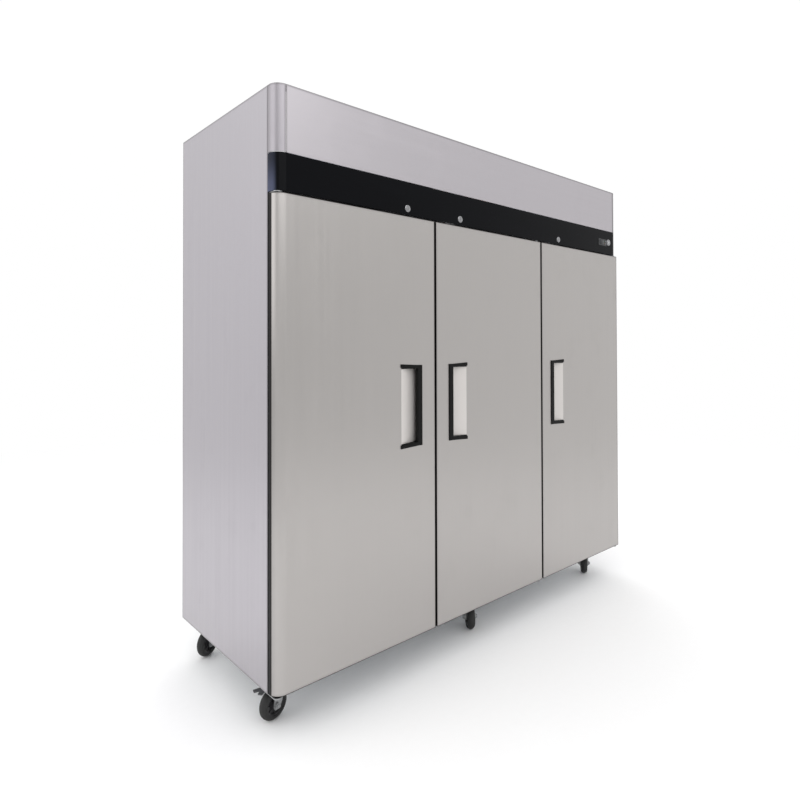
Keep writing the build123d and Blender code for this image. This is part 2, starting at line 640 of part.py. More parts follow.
PIPE_R = 5.0
STUB = (COMPRESSOR[0] - 40, COMPRESSOR[1] + 20, DECK + 214)  # discharge stub on the compressor
PIPE_HIGH = DECK + 250
PIPE_LOW = DECK + 40
PIPES = [
    [(*STUB[:2], STUB[2] + SEAM), (*STUB[:2], PIPE_HIGH), (STUB[0], FRONT + 600, PIPE_HIGH),
     (COIL_X[0] + 30, FRONT + 600, PIPE_HIGH), (COIL_X[0] + 30, COIL_Y[1] + 3, PIPE_HIGH)],
    [(COIL_X[0] + 50, COIL_Y[0] - 4, PIPE_LOW), (COIL_X[0] + 50, FRONT + 85, PIPE_LOW),
     (120, FRONT + 85, PIPE_LOW), (120, FRONT + 420, PIPE_LOW), (*PIPE_PASS, PIPE_LOW),
     (*PIPE_PASS, DECK_Z + SEAM)],
]

with BuildPart() as compressor:
    with Locations((COMPRESSOR[0], COMPRESSOR[1], DECK + 3)):
        Box(220, 160, 6)
    with BuildSketch(Plane.XY.offset(DECK + 4)) as can:
        with Locations(COMPRESSOR):
            Ellipse(88, 78)
    extrude(can.sketch, amount=196)
    fillet(compressor.edges().group_by(Axis.Z)[-1], 42)
    with BuildSketch(Plane.XY.offset(DECK + 92)) as seam:
        with Locations(COMPRESSOR):
            Ellipse(92, 82)
    extrude(seam.sketch, amount=6)
    block((COMPRESSOR[0] - 34, COMPRESSOR[0] + 34), (COMPRESSOR[1] - 104, COMPRESSOR[1] - 60),
          (DECK + 60, DECK + 120))
    rod((*STUB[:2], STUB[2] - 60), STUB, PIPE_R + 1.5)
save(compressor.part, "compressor")

with BuildPart() as condenser_coil:
    block(COIL_X, COIL_Y, COIL_Z)
    for y in (COIL_Y[0] - 2, COIL_Y[1]):
        block((COIL_X[0] - 6, COIL_X[1] + 6), (y, y + 2), COIL_Z)
    for y, sign in ((COIL_Y[0] - 2, -1), (COIL_Y[1] + 2, 1)):
        for z in (DECK + 40, DECK + 105, DECK + 170, DECK + 225):
            with BuildSketch(Plane.YZ.offset(COIL_X[0] + 24)) as bend:
                with Locations((y, z)):
                    Circle(17)
                    Circle(9, mode=Mode.SUBTRACT)
                with Locations((y - sign * 50, z)):
                    Rectangle(100, 60, mode=Mode.SUBTRACT)
            extrude(bend.sketch, amount=8)
save(condenser_coil.part, "condenser_coil")

with BuildPart() as shroud:
    x0, x1 = COIL_X[1] + 8, COIL_X[1] + 56
    y0, y1 = COIL_Y[0] - 2, COIL_Y[1] + 2
    block((x0, x1), (y0, y1), (DECK, COIL_Z[1]))
    block((x0 - 1, x1 - SHEET), (y0 + SHEET, y1 - SHEET), (DECK + SHEET, COIL_Z[1] - SHEET),
          Mode.SUBTRACT)
    rod((x0, *COIL_MIDDLE), (x1 + 5, *COIL_MIDDLE), CONDENSER_FAN_R + 6, Mode.SUBTRACT)
    for z in (-30, 30):
        block((x1 + 30, x1 + 34), (y0, y1), (COIL_MIDDLE[1] + z - 8, COIL_MIDDLE[1] + z + 8))
        for y in (y0, y1 - 4):
            block((x1 - SHEET, x1 + 34), (y, y + 4), (COIL_MIDDLE[1] + z - 8, COIL_MIDDLE[1] + z + 8))
    rod((x1 + 30, *COIL_MIDDLE), (x1 + 92, *COIL_MIDDLE), 42)
    rod((x1 - 30, *COIL_MIDDLE), (x1 + 31, *COIL_MIDDLE), CONDENSER_SHAFT_R)
save(shroud.part, "condenser_shroud")

place = Plane(origin=(COIL_X[1] + 36, *COIL_MIDDLE), z_dir=(1, 0, 0)).location
save(fan_rotor(CONDENSER_FAN_R, CONDENSER_SHAFT_R, 22, 34).moved(place), "condenser_fan")

with BuildPart() as pipes:
    for route in PIPES:
        with BuildLine() as line:
            FilletPolyline(*route, radius=28)
        with BuildSketch(Plane(origin=route[0], z_dir=Vector(*route[1]) - Vector(*route[0]))) as tube:
            Circle(PIPE_R)
        sweep(tube.sketch, path=line.wires()[0])
    rod((120, FRONT + 150, PIPE_LOW), (120, FRONT + 290, PIPE_LOW), 22)  # filter drier
save(pipes.part, "refrigerant_pipes")

with BuildPart() as electrical_box:
    block((640, 860), (BACK - 200, BACK - 40), (DECK, DECK + 130))
    fillet(electrical_box.edges().filter_by(Axis.Z), 6)
    rod((760, BACK - 41, DECK + 60), (760, BACK - 20, DECK + 60), 14)
    rod((760, BACK - 21, DECK + 60), (760, BACK - 6, DECK + 60), 10)
save(electrical_box.part, "electrical_box")


# ---------------------------------------------------------------- casters
PLATE_Z = (BASE_Z - 4, BASE_Z)
CROWN_Z = (124.0, 129.0)
KINGPIN_R = 7.0
FORK_GAP = 36.0
FORK_T = 3.5
AXLE_R = 5.0

with BuildPart() as caster_plates:
    for _, x, y, _, _ in CASTERS:
        with BuildSketch(Plane.XY.offset(PLATE_Z[0])) as plate:
            with Locations((x, y)):
                RectangleRounded(92, 84, 8)
                with GridLocations(70, 62, 2, 2):
                    SlotOverall(15, 9, mode=Mode.SUBTRACT)
        extrude(plate.sketch, amount=4)
        rod((x, y, 131), (x, y, PLATE_Z[0]), 26)
        rod((x, y, CROWN_Z[0] - 6), (x, y, 132), KINGPIN_R)
        rod((x, y, CROWN_Z[0] - 6), (x, y, CROWN_Z[0] - 1), 10)
save(caster_plates.part, "caster_plates")


def caster_fork():
    """Swivel fork at the origin, trailing along +X, with its axle riveted in."""
    outer = FORK_GAP / 2 + FORK_T
    with BuildPart() as fork:
        with BuildSketch(Plane.XY.offset(CROWN_Z[0])) as crown:
            Circle(31)
            with Locations((TRAIL / 2, 0)):
                Rectangle(TRAIL, 2 * outer)
        extrude(crown.sketch, amount=CROWN_Z[1] - CROWN_Z[0])
        with BuildSketch(Plane.XZ.offset(-outer)) as leg:
            with BuildLine():
                Polyline((-20, CROWN_Z[1] - 1), (TRAIL + 4, CROWN_Z[1] - 1),
                         (TRAIL + 15, WHEEL_R - 2), (TRAIL + 9, WHEEL_R - 13), (TRAIL - 9, WHEEL_R - 13),
                         (TRAIL - 15, WHEEL_R - 2), close=True)
            make_face()
            fillet(leg.vertices().group_by(Axis.Y)[0], 6)
        extrude(leg.sketch, amount=2 * outer)
        block((-40, 80), (-FORK_GAP / 2, FORK_GAP / 2), (0, CROWN_Z[0]), Mode.SUBTRACT)
        rod((0, 0, CROWN_Z[0] - 5), (0, 0, CROWN_Z[1] + 5), KINGPIN_R + RUNNING, Mode.SUBTRACT)
        rod((TRAIL, -outer - 4, WHEEL_R), (TRAIL, outer + 4, WHEEL_R), AXLE_R)
        for y in (-outer - 5, outer):
            rod((TRAIL, y, WHEEL_R), (TRAIL, y + 5, WHEEL_R), 9)
    return fork.part


def caster_wheel():
    """Wheel with a rounded tread and dished sides on its hub, axle along Y."""
    half = 15.0
    with BuildPart() as wheel:
        with BuildSketch(Plane.YZ) as section:
            with BuildLine():
                Polyline((-half, WHEEL_R - 8), (-half, 34), (-6, 30), (-6, 17), (-17, 15),
                         (-17, AXLE_R + RUNNING), (17, AXLE_R + RUNNING), (17, 15), (6, 17), (6, 30),
                         (half, 34), (half, WHEEL_R - 8))
                ThreePointArc((half, WHEEL_R - 8), (0, WHEEL_R), (-half, WHEEL_R - 8))
            make_face()
        revolve(section.sketch, axis=Axis.Y)
    return wheel.part.moved(Location((TRAIL, 0, WHEEL_R)))


def brake_pedal():
    """Two-pronged foot lever behind the wheel of a locking caster, on a cross pin in the fork."""
    with BuildPart() as pedal:
        with BuildSketch(Plane.XY.offset(111)) as plate:
            with BuildLine():
                Polyline((TRAIL + 2, -16), (TRAIL + 42, -15), (TRAIL + 62, -22), (TRAIL + 68, -9),
                         (TRAIL + 52, 0), (TRAIL + 68, 9), (TRAIL + 62, 22), (TRAIL + 42, 15),
                         (TRAIL + 2, 16), close=True)
            make_face()
            fillet(plate.vertices(), 2)
        extrude(plate.sketch, amount=3)
        rod((TRAIL + 4, -17.5, 112.5), (TRAIL + 4, 17.5, 112.5), 4)
    return pedal.part


fork_shape = caster_fork()
wheel_shape = caster_wheel()
pedal_shape = brake_pedal()
for name, x, y, direction, braked in CASTERS:
    place = Location((x, y, 0), (0, 0, direction))
    save(fork_shape.moved(place), f"{name}_caster_fork")
    save(wheel_shape.moved(place), f"{name}_caster_wheel")
    if braked:
        save(pedal_shape.moved(place), f"{name}_brake_pedal")
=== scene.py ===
"""Looks of a three-door reach-in refrigerator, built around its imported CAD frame.

Metres, in the frame's axes: +X right, +Y from the doors to the back, +Z up, floor at z = 0.
"""

import json
import math

import bmesh
import bpy
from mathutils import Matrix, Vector


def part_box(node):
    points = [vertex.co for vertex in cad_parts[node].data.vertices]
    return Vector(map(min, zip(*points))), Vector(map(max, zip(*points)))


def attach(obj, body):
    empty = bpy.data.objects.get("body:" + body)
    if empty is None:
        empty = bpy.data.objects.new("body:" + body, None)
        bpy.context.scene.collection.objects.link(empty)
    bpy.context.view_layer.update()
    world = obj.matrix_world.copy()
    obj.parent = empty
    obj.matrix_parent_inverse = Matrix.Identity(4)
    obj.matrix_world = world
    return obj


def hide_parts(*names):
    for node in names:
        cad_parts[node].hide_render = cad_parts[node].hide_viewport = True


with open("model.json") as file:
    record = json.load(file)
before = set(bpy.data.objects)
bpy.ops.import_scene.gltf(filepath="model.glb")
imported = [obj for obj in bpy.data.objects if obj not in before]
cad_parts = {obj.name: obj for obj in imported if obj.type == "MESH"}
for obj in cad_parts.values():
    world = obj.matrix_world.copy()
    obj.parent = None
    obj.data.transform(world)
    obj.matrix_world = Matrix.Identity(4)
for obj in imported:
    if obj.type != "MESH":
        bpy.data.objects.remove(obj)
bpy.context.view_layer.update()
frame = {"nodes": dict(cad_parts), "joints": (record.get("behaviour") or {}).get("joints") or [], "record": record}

# ---------------------------------------------------------------- places taken from the frame
MM = 0.001
X, Y, Z = Vector((1, 0, 0)), Vector((0, 1, 0)), Vector((0, 0, 1))
PIVOT = {joint["name"]: Vector(joint["pos_m"]) for joint in frame["joints"] if joint.get("pos_m")}

LEFT, FACE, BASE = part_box("left_side_panel")[0]
RIGHT, BACK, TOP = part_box("right_side_panel")[1]
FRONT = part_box("control_band")[0].y
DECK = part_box("machine_deck")[1].z
DOORS = {"left": -1, "middle": 1, "right": 1}  # name: which way the hinge lies from the grip
QUADRANTS = [(side, end) for side in (-1, 1) for end in (-1, 1)]
CASTERS = ("front_left", "front_middle", "front_right", "rear_left", "rear_middle", "rear_right")

# ---------------------------------------------------------------- camera
CAMERA_AT = (-1.839, -1.987, 1.201)
CAMERA_YAW, CAMERA_PITCH, CAMERA_ROLL = 43.13, 0.68, 0.19
CAMERA_LENS = 26.4
CAMERA_SHIFT = (-0.043, -0.077)


def make_camera():
    data = bpy.data.cameras.new("camera")
    data.lens = CAMERA_LENS
    data.shift_x, data.shift_y = CAMERA_SHIFT
    camera = bpy.data.objects.new("camera", data)
    camera.location = CAMERA_AT
    angles = (90 + CAMERA_PITCH, CAMERA_ROLL, -CAMERA_YAW)
    camera.rotation_euler = [math.radians(angle) for angle in angles]
    bpy.context.scene.collection.objects.link(camera)
    bpy.context.scene.camera = camera


# ---------------------------------------------------------------- node graphs
class Graph:
    """Short calls for the nodes of one material or world."""

    def __init__(self, owner, coordinates="Object"):
        owner.use_nodes = True
        self.owner = owner
        self.tree = owner.node_tree
        self.place = self.node("TexCoord").outputs[coordinates]

    def node(self, kind, inputs=None, **settings):
        made = self.tree.nodes.new("ShaderNode" + kind)
        for name, value in settings.items():
            setattr(made, name, value)
        for name, value in (inputs or {}).items():
            self.put(made.inputs[name], value)
        return made

    def put(self, socket, value):
        if isinstance(value, bpy.types.NodeSocket):
            self.tree.links.new(value, socket)
        else:
            socket.default_value = value

    def math(self, operation, first, second=0.0):
        return self.node("Math", {0: first, 1: second}, operation=operation).outputs[0]

    def remap(self, value, low, high, to_low=0.0, to_high=1.0, smooth=False):
        kind = "SMOOTHSTEP" if smooth else "LINEAR"
        inputs = {"Value": value, "From Min": low, "From Max": high, "To Min": to_low, "To Max": to_high}
        return self.node("MapRange", inputs, interpolation_type=kind).outputs[0]

    def noise(self, scale, detail=2.0, roughness=0.5):
        """Noise with about so many features a metre along each axis."""
        moved = self.node("Mapping", {"Vector": self.place, "Scale": scale}).outputs[0]
        inputs = {"Vector": moved, "Scale": 1.0, "Detail": detail, "Roughness": roughness}
        return self.node("TexNoise", inputs).outputs[0]

    def mix(self, share, first, second):
        made = self.node("Mix", data_type="RGBA")
        self.put(made.inputs[0], share)
        self.put(made.inputs[6], first)
        self.put(made.inputs[7], second)
        return made.outputs[2]

    def axes(self):
        return self.node("SeparateXYZ", {0: self.place}).outputs

    def inside(self, low, high):
        """1 inside a box, 0 outside it. A None in low or high leaves that side open."""
        mask = 1.0
        for value, start, end in zip(self.axes(), low, high):
            if start is not None:
                mask = self.math("MULTIPLY", mask, self.math("GREATER_THAN", value, start))
            if end is not None:
                mask = self.math("MULTIPLY", mask, self.math("LESS_THAN", value, end))
        return mask

    def rim(self, low, high, width, axes=(0, 2)):
        """1 along the borders of a box, seen square to the other axis, falling to 0 inside them."""
        nearest = 1.0
        split = self.axes()
        for axis in axes:
            middle = (low[axis] + high[axis]) / 2
            offset = self.math("ABSOLUTE", self.math("SUBTRACT", split[axis], middle))
            distance = self.math("SUBTRACT", (high[axis] - low[axis]) / 2, offset)
            nearest = self.math("MINIMUM", nearest, distance)
        return self.remap(nearest, 0.0, width, 1.0, 0.0)


def shade(colour, factor):
    return (*(min(1.0, channel * factor) for channel in colour), 1.0)


class Surface(Graph):
    """A Principled material with its plain numbers set on the shader's own sockets."""

    def __init__(self, name, colour, metallic=0.0, roughness=0.5, specular=0.5, **sockets):
        super().__init__(bpy.data.materials.new(name))
        self.shader = self.tree.nodes["Principled BSDF"]
        self.colour = colour
        settings = {"Base Color": shade(colour, 1), "Metallic": metallic, "Roughness": roughness,
                    "Specular IOR Level": specular}
        settings.update({key.replace("_", " "): value for key, value in sockets.items()})
        for key, value in settings.items():
            self.put(self.shader.inputs[key], value)

    def tone(self, share, low=0.92, high=1.08):
        """Colours the surface between two shades of its own colour."""
        self.paint(self.mix(share, shade(self.colour, low), shade(self.colour, high)))

    def paint(self, colour):
        self.put(self.shader.inputs["Base Color"], colour)
        self.painted = colour

    def gloss(self, roughness):
        self.put(self.shader.inputs["Roughness"], roughness)

    def bump(self, height, distance, strength=1.0):
        inputs = {"Height": height, "Distance": distance, "Strength": strength}
        self.put(self.shader.inputs["Normal"], self.node("Bump", inputs).outputs[0])


# ---------------------------------------------------------------- materials
GRAIN_ALONG = 3.0  # streaks a metre along the grain
GRAIN_ACROSS = 900.0


def brushed(name, colour, roughness=0.3, grain=2, contrast=0.05, depth=0.02 * MM):
    """Brushed stainless sheet: fine grain along one axis, longer streaks and soft cloudiness."""
    surface = Surface(name, colour, metallic=1.0, roughness=roughness, Anisotropic=0.35)
    fine_scale = [GRAIN_ACROSS] * 3
    fine_scale[grain] = GRAIN_ALONG
    streak_scale = [70.0] * 3
    streak_scale[grain] = 1.1
    fine = surface.noise(fine_scale, detail=3)
    streak = surface.noise(streak_scale, detail=2)
    cloud = surface.noise((1.7, 1.7, 1.7), detail=4, roughness=0.6)
    smudge = surface.noise((9, 9, 6), detail=5, roughness=0.65)
    share = surface.math("ADD", surface.math("MULTIPLY", fine, 0.35), surface.math("MULTIPLY", streak, 0.3))
    share = surface.math("ADD", share, surface.math("MULTIPLY", cloud, 0.35))
    surface.tone(share, 1 - contrast, 1 + contrast)
    marks = surface.remap(smudge, 0.52, 0.74, 0.0, 0.07, smooth=True)
    grainy = surface.remap(streak, 0.3, 0.7, roughness - 0.04, roughness + 0.05)
    surface.gloss(surface.math("ADD", grainy, marks))
    surface.bump(fine, depth, 0.5)
    return surface


def door_steel(name, node):
    """Door sheet: brushed, with painted shade along its borders, near black painted shade on its folded edges and the
    back of its returns, and its pressed hand pocket painted lighter and less metallic as a painted highlight.
    """
    low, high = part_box(node)
    grip_low, grip_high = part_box(node.replace("skin", "grip"))
    surface = brushed(name, (0.455, 0.436, 0.424), roughness=0.33)
    # painted shade: the door's colour darkens a little within 9 mm of its borders
    border_shade = surface.mix(surface.math("MULTIPLY", surface.rim(low, high, 9 * MM), 0.3), surface.painted,
                       shade((0.18, 0.17, 0.17), 1))
    # painted shade: near black on the folded edges, standing in for the shadow in the gaps between the doors
    fold_shade_mask = surface.remap(surface.rim(low, high, 4 * MM), 0.35, 0.75, smooth=True)
    fold_shaded = surface.mix(fold_shade_mask, border_shade, shade((0.02, 0.018, 0.018), 1))
    # painted shade: the door's sides more than 30 mm behind its face are painted near black, as if in the shadow of
    # the gaps
    depth = surface.axes()[1]
    return_shade_mask = surface.remap(depth, FRONT + 30 * MM, FRONT + 34 * MM)
    return_shaded = surface.mix(return_shade_mask, fold_shaded, shade((0.012, 0.011, 0.012), 1))
    # painted highlight: the hand pocket is painted lighter and less metallic, standing in for the light its sloped
    # plate catches
    pocket = surface.inside((grip_low.x - 4 * MM, FRONT + 0.4 * MM, grip_low.z),
                            (grip_high.x + 4 * MM, FRONT + 32 * MM, grip_high.z))
    surface.paint(surface.mix(pocket, return_shaded, shade((0.62, 0.592, 0.572), 1)))
    surface.put(surface.shader.inputs["Metallic"], surface.remap(pocket, 0, 1, 1.0, 0.25))
    return surface.owner


# dark seam colour, also used as painted shade along the side sheets' borders and the fascia's top edge
SEAM_AND_EDGE_SHADE = (0.20, 0.19, 0.20)
CAP_WIDTH = 36 * MM


def side_steel(name, node):
    """Outer side sheet with painted shade along its folded borders, and dust low down."""
    low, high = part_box(node)
    surface = brushed(name, (0.465, 0.445, 0.475), roughness=0.36, contrast=0.04)
    # painted shade: the sheet darkens towards the seam colour within 8 mm of its borders
    edge = surface.math("MULTIPLY", surface.rim(low, high, 8 * MM, axes=(1, 2)), 0.75)
    marked = surface.mix(edge, surface.painted, shade(SEAM_AND_EDGE_SHADE, 1))
    height = surface.remap(surface.axes()[2], low.z, low.z + 0.25, 1.0, 0.0, smooth=True)
    dust = surface.math("MULTIPLY", height, surface.noise((14, 14, 14), detail=4))
    surface.paint(surface.mix(surface.math("MULTIPLY", dust, 0.2), marked, shade((0.42, 0.40, 0.38), 1)))
    return surface.owner


def fascia_steel(name, node):
    """Fascia sheet, with painted shade along its top edge, darker along the seams of its corner caps, and the caps in
    a darker shaded copy of its steel.
    """
    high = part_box(node)[1]
    # painted shade: the corner caps take a darker copy of the fascia's steel colour, toning down the light on their
    # curves
    colour = (0.335, 0.318, 0.341) if "caps" in node else (0.49, 0.467, 0.492)
    surface = brushed(name, colour, roughness=0.36, grain=2 if "caps" in node else 0, contrast=0.04)
    across, depth, height = surface.axes()
    off_seam = surface.math("SUBTRACT", surface.math("ABSOLUTE", across), RIGHT - CAP_WIDTH)
    seam = surface.remap(surface.math("ABSOLUTE", off_seam), 1 * MM, 7 * MM, 0.75, 0.0, smooth=True)
    joint = surface.remap(depth, FACE - 7 * MM, FACE - 1 * MM, 0.0, 0.75, smooth=True)
    # painted shade along the top edge
    top = surface.remap(height, high.z - 9 * MM, high.z - 1 * MM, 0.0, 0.7, smooth=True)
    dark = surface.math("MAXIMUM", surface.math("MAXIMUM", seam, joint), top)
    surface.paint(surface.mix(dark, surface.painted, shade(SEAM_AND_EDGE_SHADE, 1)))
    return surface.owner


def liner_steel(name):
    """Inside sheet, with near black painted shade on its front edge outside the door gaskets."""
    surface = brushed(name, (0.60, 0.60, 0.61), roughness=0.34, contrast=0.03, depth=0.003 * MM)
    for outer in ((None, LEFT + 20 * MM), (RIGHT - 20 * MM, None)):
        # painted shade: a near black strip where the gap beside the outer doors falls in shadow
        gap_shade_strip = surface.inside((outer[0], None, None), (outer[1], FACE + 1.5 * MM, None))
        surface.paint(surface.mix(gap_shade_strip, surface.painted, shade((0.015, 0.015, 0.016), 1)))
    return surface.owner


def moulded(name, colour, roughness, specular=0.5, spread=0.15, texture=1300.0):
    """Moulded plastic or rubber: fine eroded texture and slightly uneven gloss."""
    surface = Surface(name, colour, roughness=roughness, specular=specular)
    fine = surface.noise((texture,) * 3, detail=2)
    patchy = surface.noise((22, 22, 22), detail=4, roughness=0.6)
    surface.tone(patchy, 1 - spread, 1 + spread)
    surface.gloss(surface.remap(patchy, 0.25, 0.75, roughness * 0.85, min(1.0, roughness * 1.15)))
    surface.bump(fine, 0.03 * MM, 0.6)
    return surface.owner


def gloss_band(name):
    """Polished black band with hairline scratches along its length, and a painted blue-grey reflection on its rounded
    ends, stronger low down.
    """
    surface = Surface(name, (0.003, 0.0032, 0.0042), roughness=0.12, specular=0.06)
    scratches = surface.noise((6, 6, 2500), detail=2)
    haze = surface.noise((3, 3, 9), detail=4, roughness=0.6)
    surface.tone(haze, 0.8, 1.2)
    across, _, height = surface.axes()
    # painted reflection: pale blue on the band's ends, fading upward
    painted_reflection = surface.remap(surface.math("ABSOLUTE", across), RIGHT - 12 * MM, RIGHT - 2 * MM, smooth=True)
    lower = surface.remap(height, DECK - 20 * MM, DECK + 90 * MM, 0.09, 0.02, smooth=True)
    surface.paint(surface.mix(surface.math("MULTIPLY", painted_reflection, lower), surface.painted, (0.75, 0.85, 1.4, 1)))
    marked = surface.remap(scratches, 0.55, 0.75, 0.0, 0.1)
    surface.gloss(surface.math("ADD", surface.remap(haze, 0.3, 0.7, 0.09, 0.17), marked))
    surface.bump(scratches, 0.01 * MM, 0.3)
    return surface.owner


def painted(name, colour, roughness=0.45, metallic=0.0):
    """Powder coat or zinc plate: orange peel, and thin wear in the colour."""
    surface = Surface(name, colour, metallic=metallic, roughness=roughness)
    peel = surface.noise((380, 380, 380), detail=2)
    marked = surface.noise((35, 35, 35), detail=5, roughness=0.65)
    surface.tone(marked, 0.8, 1.15)
    surface.gloss(surface.remap(marked, 0.3, 0.7, roughness - 0.08, roughness + 0.12))
    surface.bump(peel, 0.06 * MM, 0.5)
    return surface.owner


def galvanised(name, colour):
    """Zinc-coated sheet with its crystals."""
    surface = Surface(name, colour, metallic=0.85, roughness=0.42)
    crystals = surface.node("TexVoronoi", {"Vector": surface.place, "Scale": 55.0, "Randomness": 1.0})
    grey = surface.node("RGBToBW", {0: crystals.outputs["Color"]}).outputs[0]
    cloud = surface.noise((3, 3, 3), detail=4)
    surface.tone(surface.math("MULTIPLY", surface.math("ADD", grey, cloud), 0.5), 0.82, 1.14)
    surface.gloss(surface.remap(grey, 0.0, 1.0, 0.34, 0.52))
    surface.bump(grey, 0.03 * MM, 0.4)
    return surface.owner


def foam(name, colour):
    surface = Surface(name, colour, roughness=0.95, specular=0.2)
    cells = surface.node("TexVoronoi", {"Vector": surface.place, "Scale": 420.0}).outputs["Distance"]
    patchy = surface.noise((16, 16, 16), detail=5)
    surface.tone(patchy, 0.82, 1.08)
    surface.bump(cells, 0.8 * MM, 0.7)
    return surface.owner


def copper(name, colour):
    surface = Surface(name, colour, metallic=1.0, roughness=0.28)
    tarnish = surface.noise((30, 30, 30), detail=5, roughness=0.7)
    surface.paint(surface.mix(surface.remap(tarnish, 0.4, 0.7), shade(colour, 1.0), shade((0.32, 0.17, 0.1), 1)))
    surface.gloss(surface.remap(tarnish, 0.35, 0.7, 0.22, 0.5))
    surface.bump(tarnish, 0.05 * MM, 0.4)
    return surface.owner


def chrome(name, colour):
    surface = Surface(name, colour, metallic=1.0, roughness=0.2)
    haze = surface.noise((160, 160, 160), detail=4)
    surface.tone(haze, 0.94, 1.02)
    surface.gloss(surface.remap(haze, 0.35, 0.75, 0.16, 0.32))
    surface.bump(haze, 0.01 * MM, 0.3)
    return surface.owner


def lamp(name, colour):
    """Milky diffuser with a faint glow."""
    surface = Surface(name, colour, roughness=0.35, Emission_Color=(0.92, 0.96, 1.0, 1), Emission_Strength=0.9)
    ribs = surface.node("TexWave", {"Vector": surface.place, "Scale": 160.0}, bands_direction="X")
    surface.tone(surface.noise((60, 60, 60)), 0.94, 1.0)
    surface.bump(ribs.outputs[1], 0.15 * MM, 0.4)
    return surface.owner


SLOT_MATERIALS = {
    "stainless_inside": liner_steel,
    "galvanised": lambda name: galvanised(name, (0.56, 0.58, 0.60)),
    "insulation_foam": lambda name: foam(name, (0.80, 0.71, 0.47)),
    "inner_panel": lambda name: moulded(name, (0.70, 0.71, 0.72), 0.42, spread=0.03, texture=500.0),
    "gasket_rubber": lambda name: moulded(name, (0.030, 0.029, 0.034), 0.55, spread=0.2),
    "grip_plastic": lambda name: moulded(name, (0.004, 0.004, 0.004), 0.42, specular=0.12),
    "band_plastic": gloss_band,
    "controller_plastic": lambda name: moulded(name, (0.016, 0.016, 0.018), 0.36, specular=0.4),
    "key_rubber": lambda name: moulded(name, (0.07, 0.07, 0.075), 0.6),
    "chrome": lambda name: chrome(name, (0.34, 0.34, 0.35)),
    "zinc_steel": lambda name: painted(name, (0.34, 0.345, 0.35), 0.36, metallic=0.9),
    "coated_wire": lambda name: painted(name, (0.60, 0.61, 0.61), 0.32, metallic=0.15),
    "coil_fins": lambda name: painted(name, (0.66, 0.67, 0.69), 0.4, metallic=0.95),
    "fan_plastic": lambda name: moulded(name, (0.02, 0.02, 0.022), 0.42),
    "lamp_lens": lambda name: lamp(name, (0.82, 0.86, 0.9)),
    "compressor_black": lambda name: painted(name, (0.012, 0.012, 0.013), 0.4),
    "shroud_steel": lambda name: painted(name, (0.045, 0.045, 0.05), 0.45),
    "copper": lambda name: copper(name, (0.80, 0.42, 0.27)),
    "box_grey": lambda name: painted(name, (0.42, 0.43, 0.44), 0.5),
    "caster_tread": lambda name: moulded(name, (0.012, 0.012, 0.012), 0.62, spread=0.3),
    "pedal_steel": lambda name: painted(name, (0.10, 0.10, 0.105), 0.42, metallic=0.4),
}
MATERIAL = {slot: make(slot) for slot, make in SLOT_MATERIALS.items()}


def paint_cad():
    """Gives every CAD node the material of its slot, and the outer sheets one of their own."""
    for part in frame["record"]["subparts"]:
        node, slot = part["node"], part["material_slot"]
        if slot == "stainless_door":
            material = door_steel(node, node)
        elif slot == "stainless_side":
            material = side_steel(node, node)
        elif slot == "stainless_fascia":
            material = fascia_steel(node, node)
        else:
            material = MATERIAL[slot]
        for place in frame["nodes"][node].material_slots:
            place.material = material


# ---------------------------------------------------------------- mesh code
def bridge(bm, low, high):
    """Joins two rings of vertices, either of which may be a single vertex."""
    count = max(len(low), len(high))
    for i in range(count):
        j = i + 1
        ring = [low[i % len(low)], low[j % len(low)], high[j % len(high)], high[i % len(high)]]
        corners = list(dict.fromkeys(ring))
        if len(corners) > 2:
            bm.faces.new(corners)


def lathe(bm, profile, at, axis, steps=32):
    """Turns (radius, height) points round an axis. A third number adds four lobes to that ring."""
    turn = Z.rotation_difference(Vector(axis)).to_matrix()
    rings = []
    for radius, height, *lobes in profile:
        ring = []
        for i in range(steps if radius > 0 else 1):
            angle = 2 * math.pi * i / steps
            reach = radius * (1 + (lobes[0] * math.cos(4 * angle) if lobes else 0))
            point = Vector((reach * math.cos(angle), reach * math.sin(angle), height))
            ring.append(bm.verts.new(Vector(at) + turn @ point))
        rings.append(ring)
    for low, high in zip(rings, rings[1:]):
        bridge(bm, low, high)


def mm(*points):
    """Profile points for lathe(), given in millimetres."""
    return [(radius * MM, height * MM, *lobes) for radius, height, *lobes in points]


def tube(bm, points, radius, sides=8, closed=False):
    """A round tube along points, with flat ends unless it is closed."""
    points = [Vector(point) for point in points]
    last = len(points) - 1
    across = None
    rings = []
    for i, point in enumerate(points):
        ahead = points[(i + 1) % len(points)] if closed or i < last else point
        behind = points[i - 1] if closed or i > 0 else point
        along = (ahead - behind).normalized()
        across = along.orthogonal() if across is None else across
        across = (across - along * across.dot(along)).normalized()
        side = along.cross(across)
        turns = [2 * math.pi * k / sides for k in range(sides)]
        rings.append([bm.verts.new(point + radius * (across * math.cos(a) + side * math.sin(a))) for a in turns])
    for low, high in zip(rings, rings[1:]):
        bridge(bm, low, high)
    if closed:
        bridge(bm, rings[-1], rings[0])
    else:
        bm.faces.new(rings[0])
        bm.faces.new(rings[-1])


def slab(bm, low, high, bevel=0.0, segments=2):
    """A block between two corners, its edges rounded by the bevel."""
    corners = bmesh.ops.create_cube(bm, size=1)["verts"]
    middle = (Vector(low) + Vector(high)) / 2
    for corner in corners:
        corner.co = middle + Vector(c * abs(h - w) for c, w, h in zip(corner.co, low, high))
    if bevel:
        edges = list({edge for corner in corners for edge in corner.link_edges})
        bmesh.ops.bevel(bm, geom=edges, offset=bevel, segments=segments, profile=0.5, affect="EDGES")


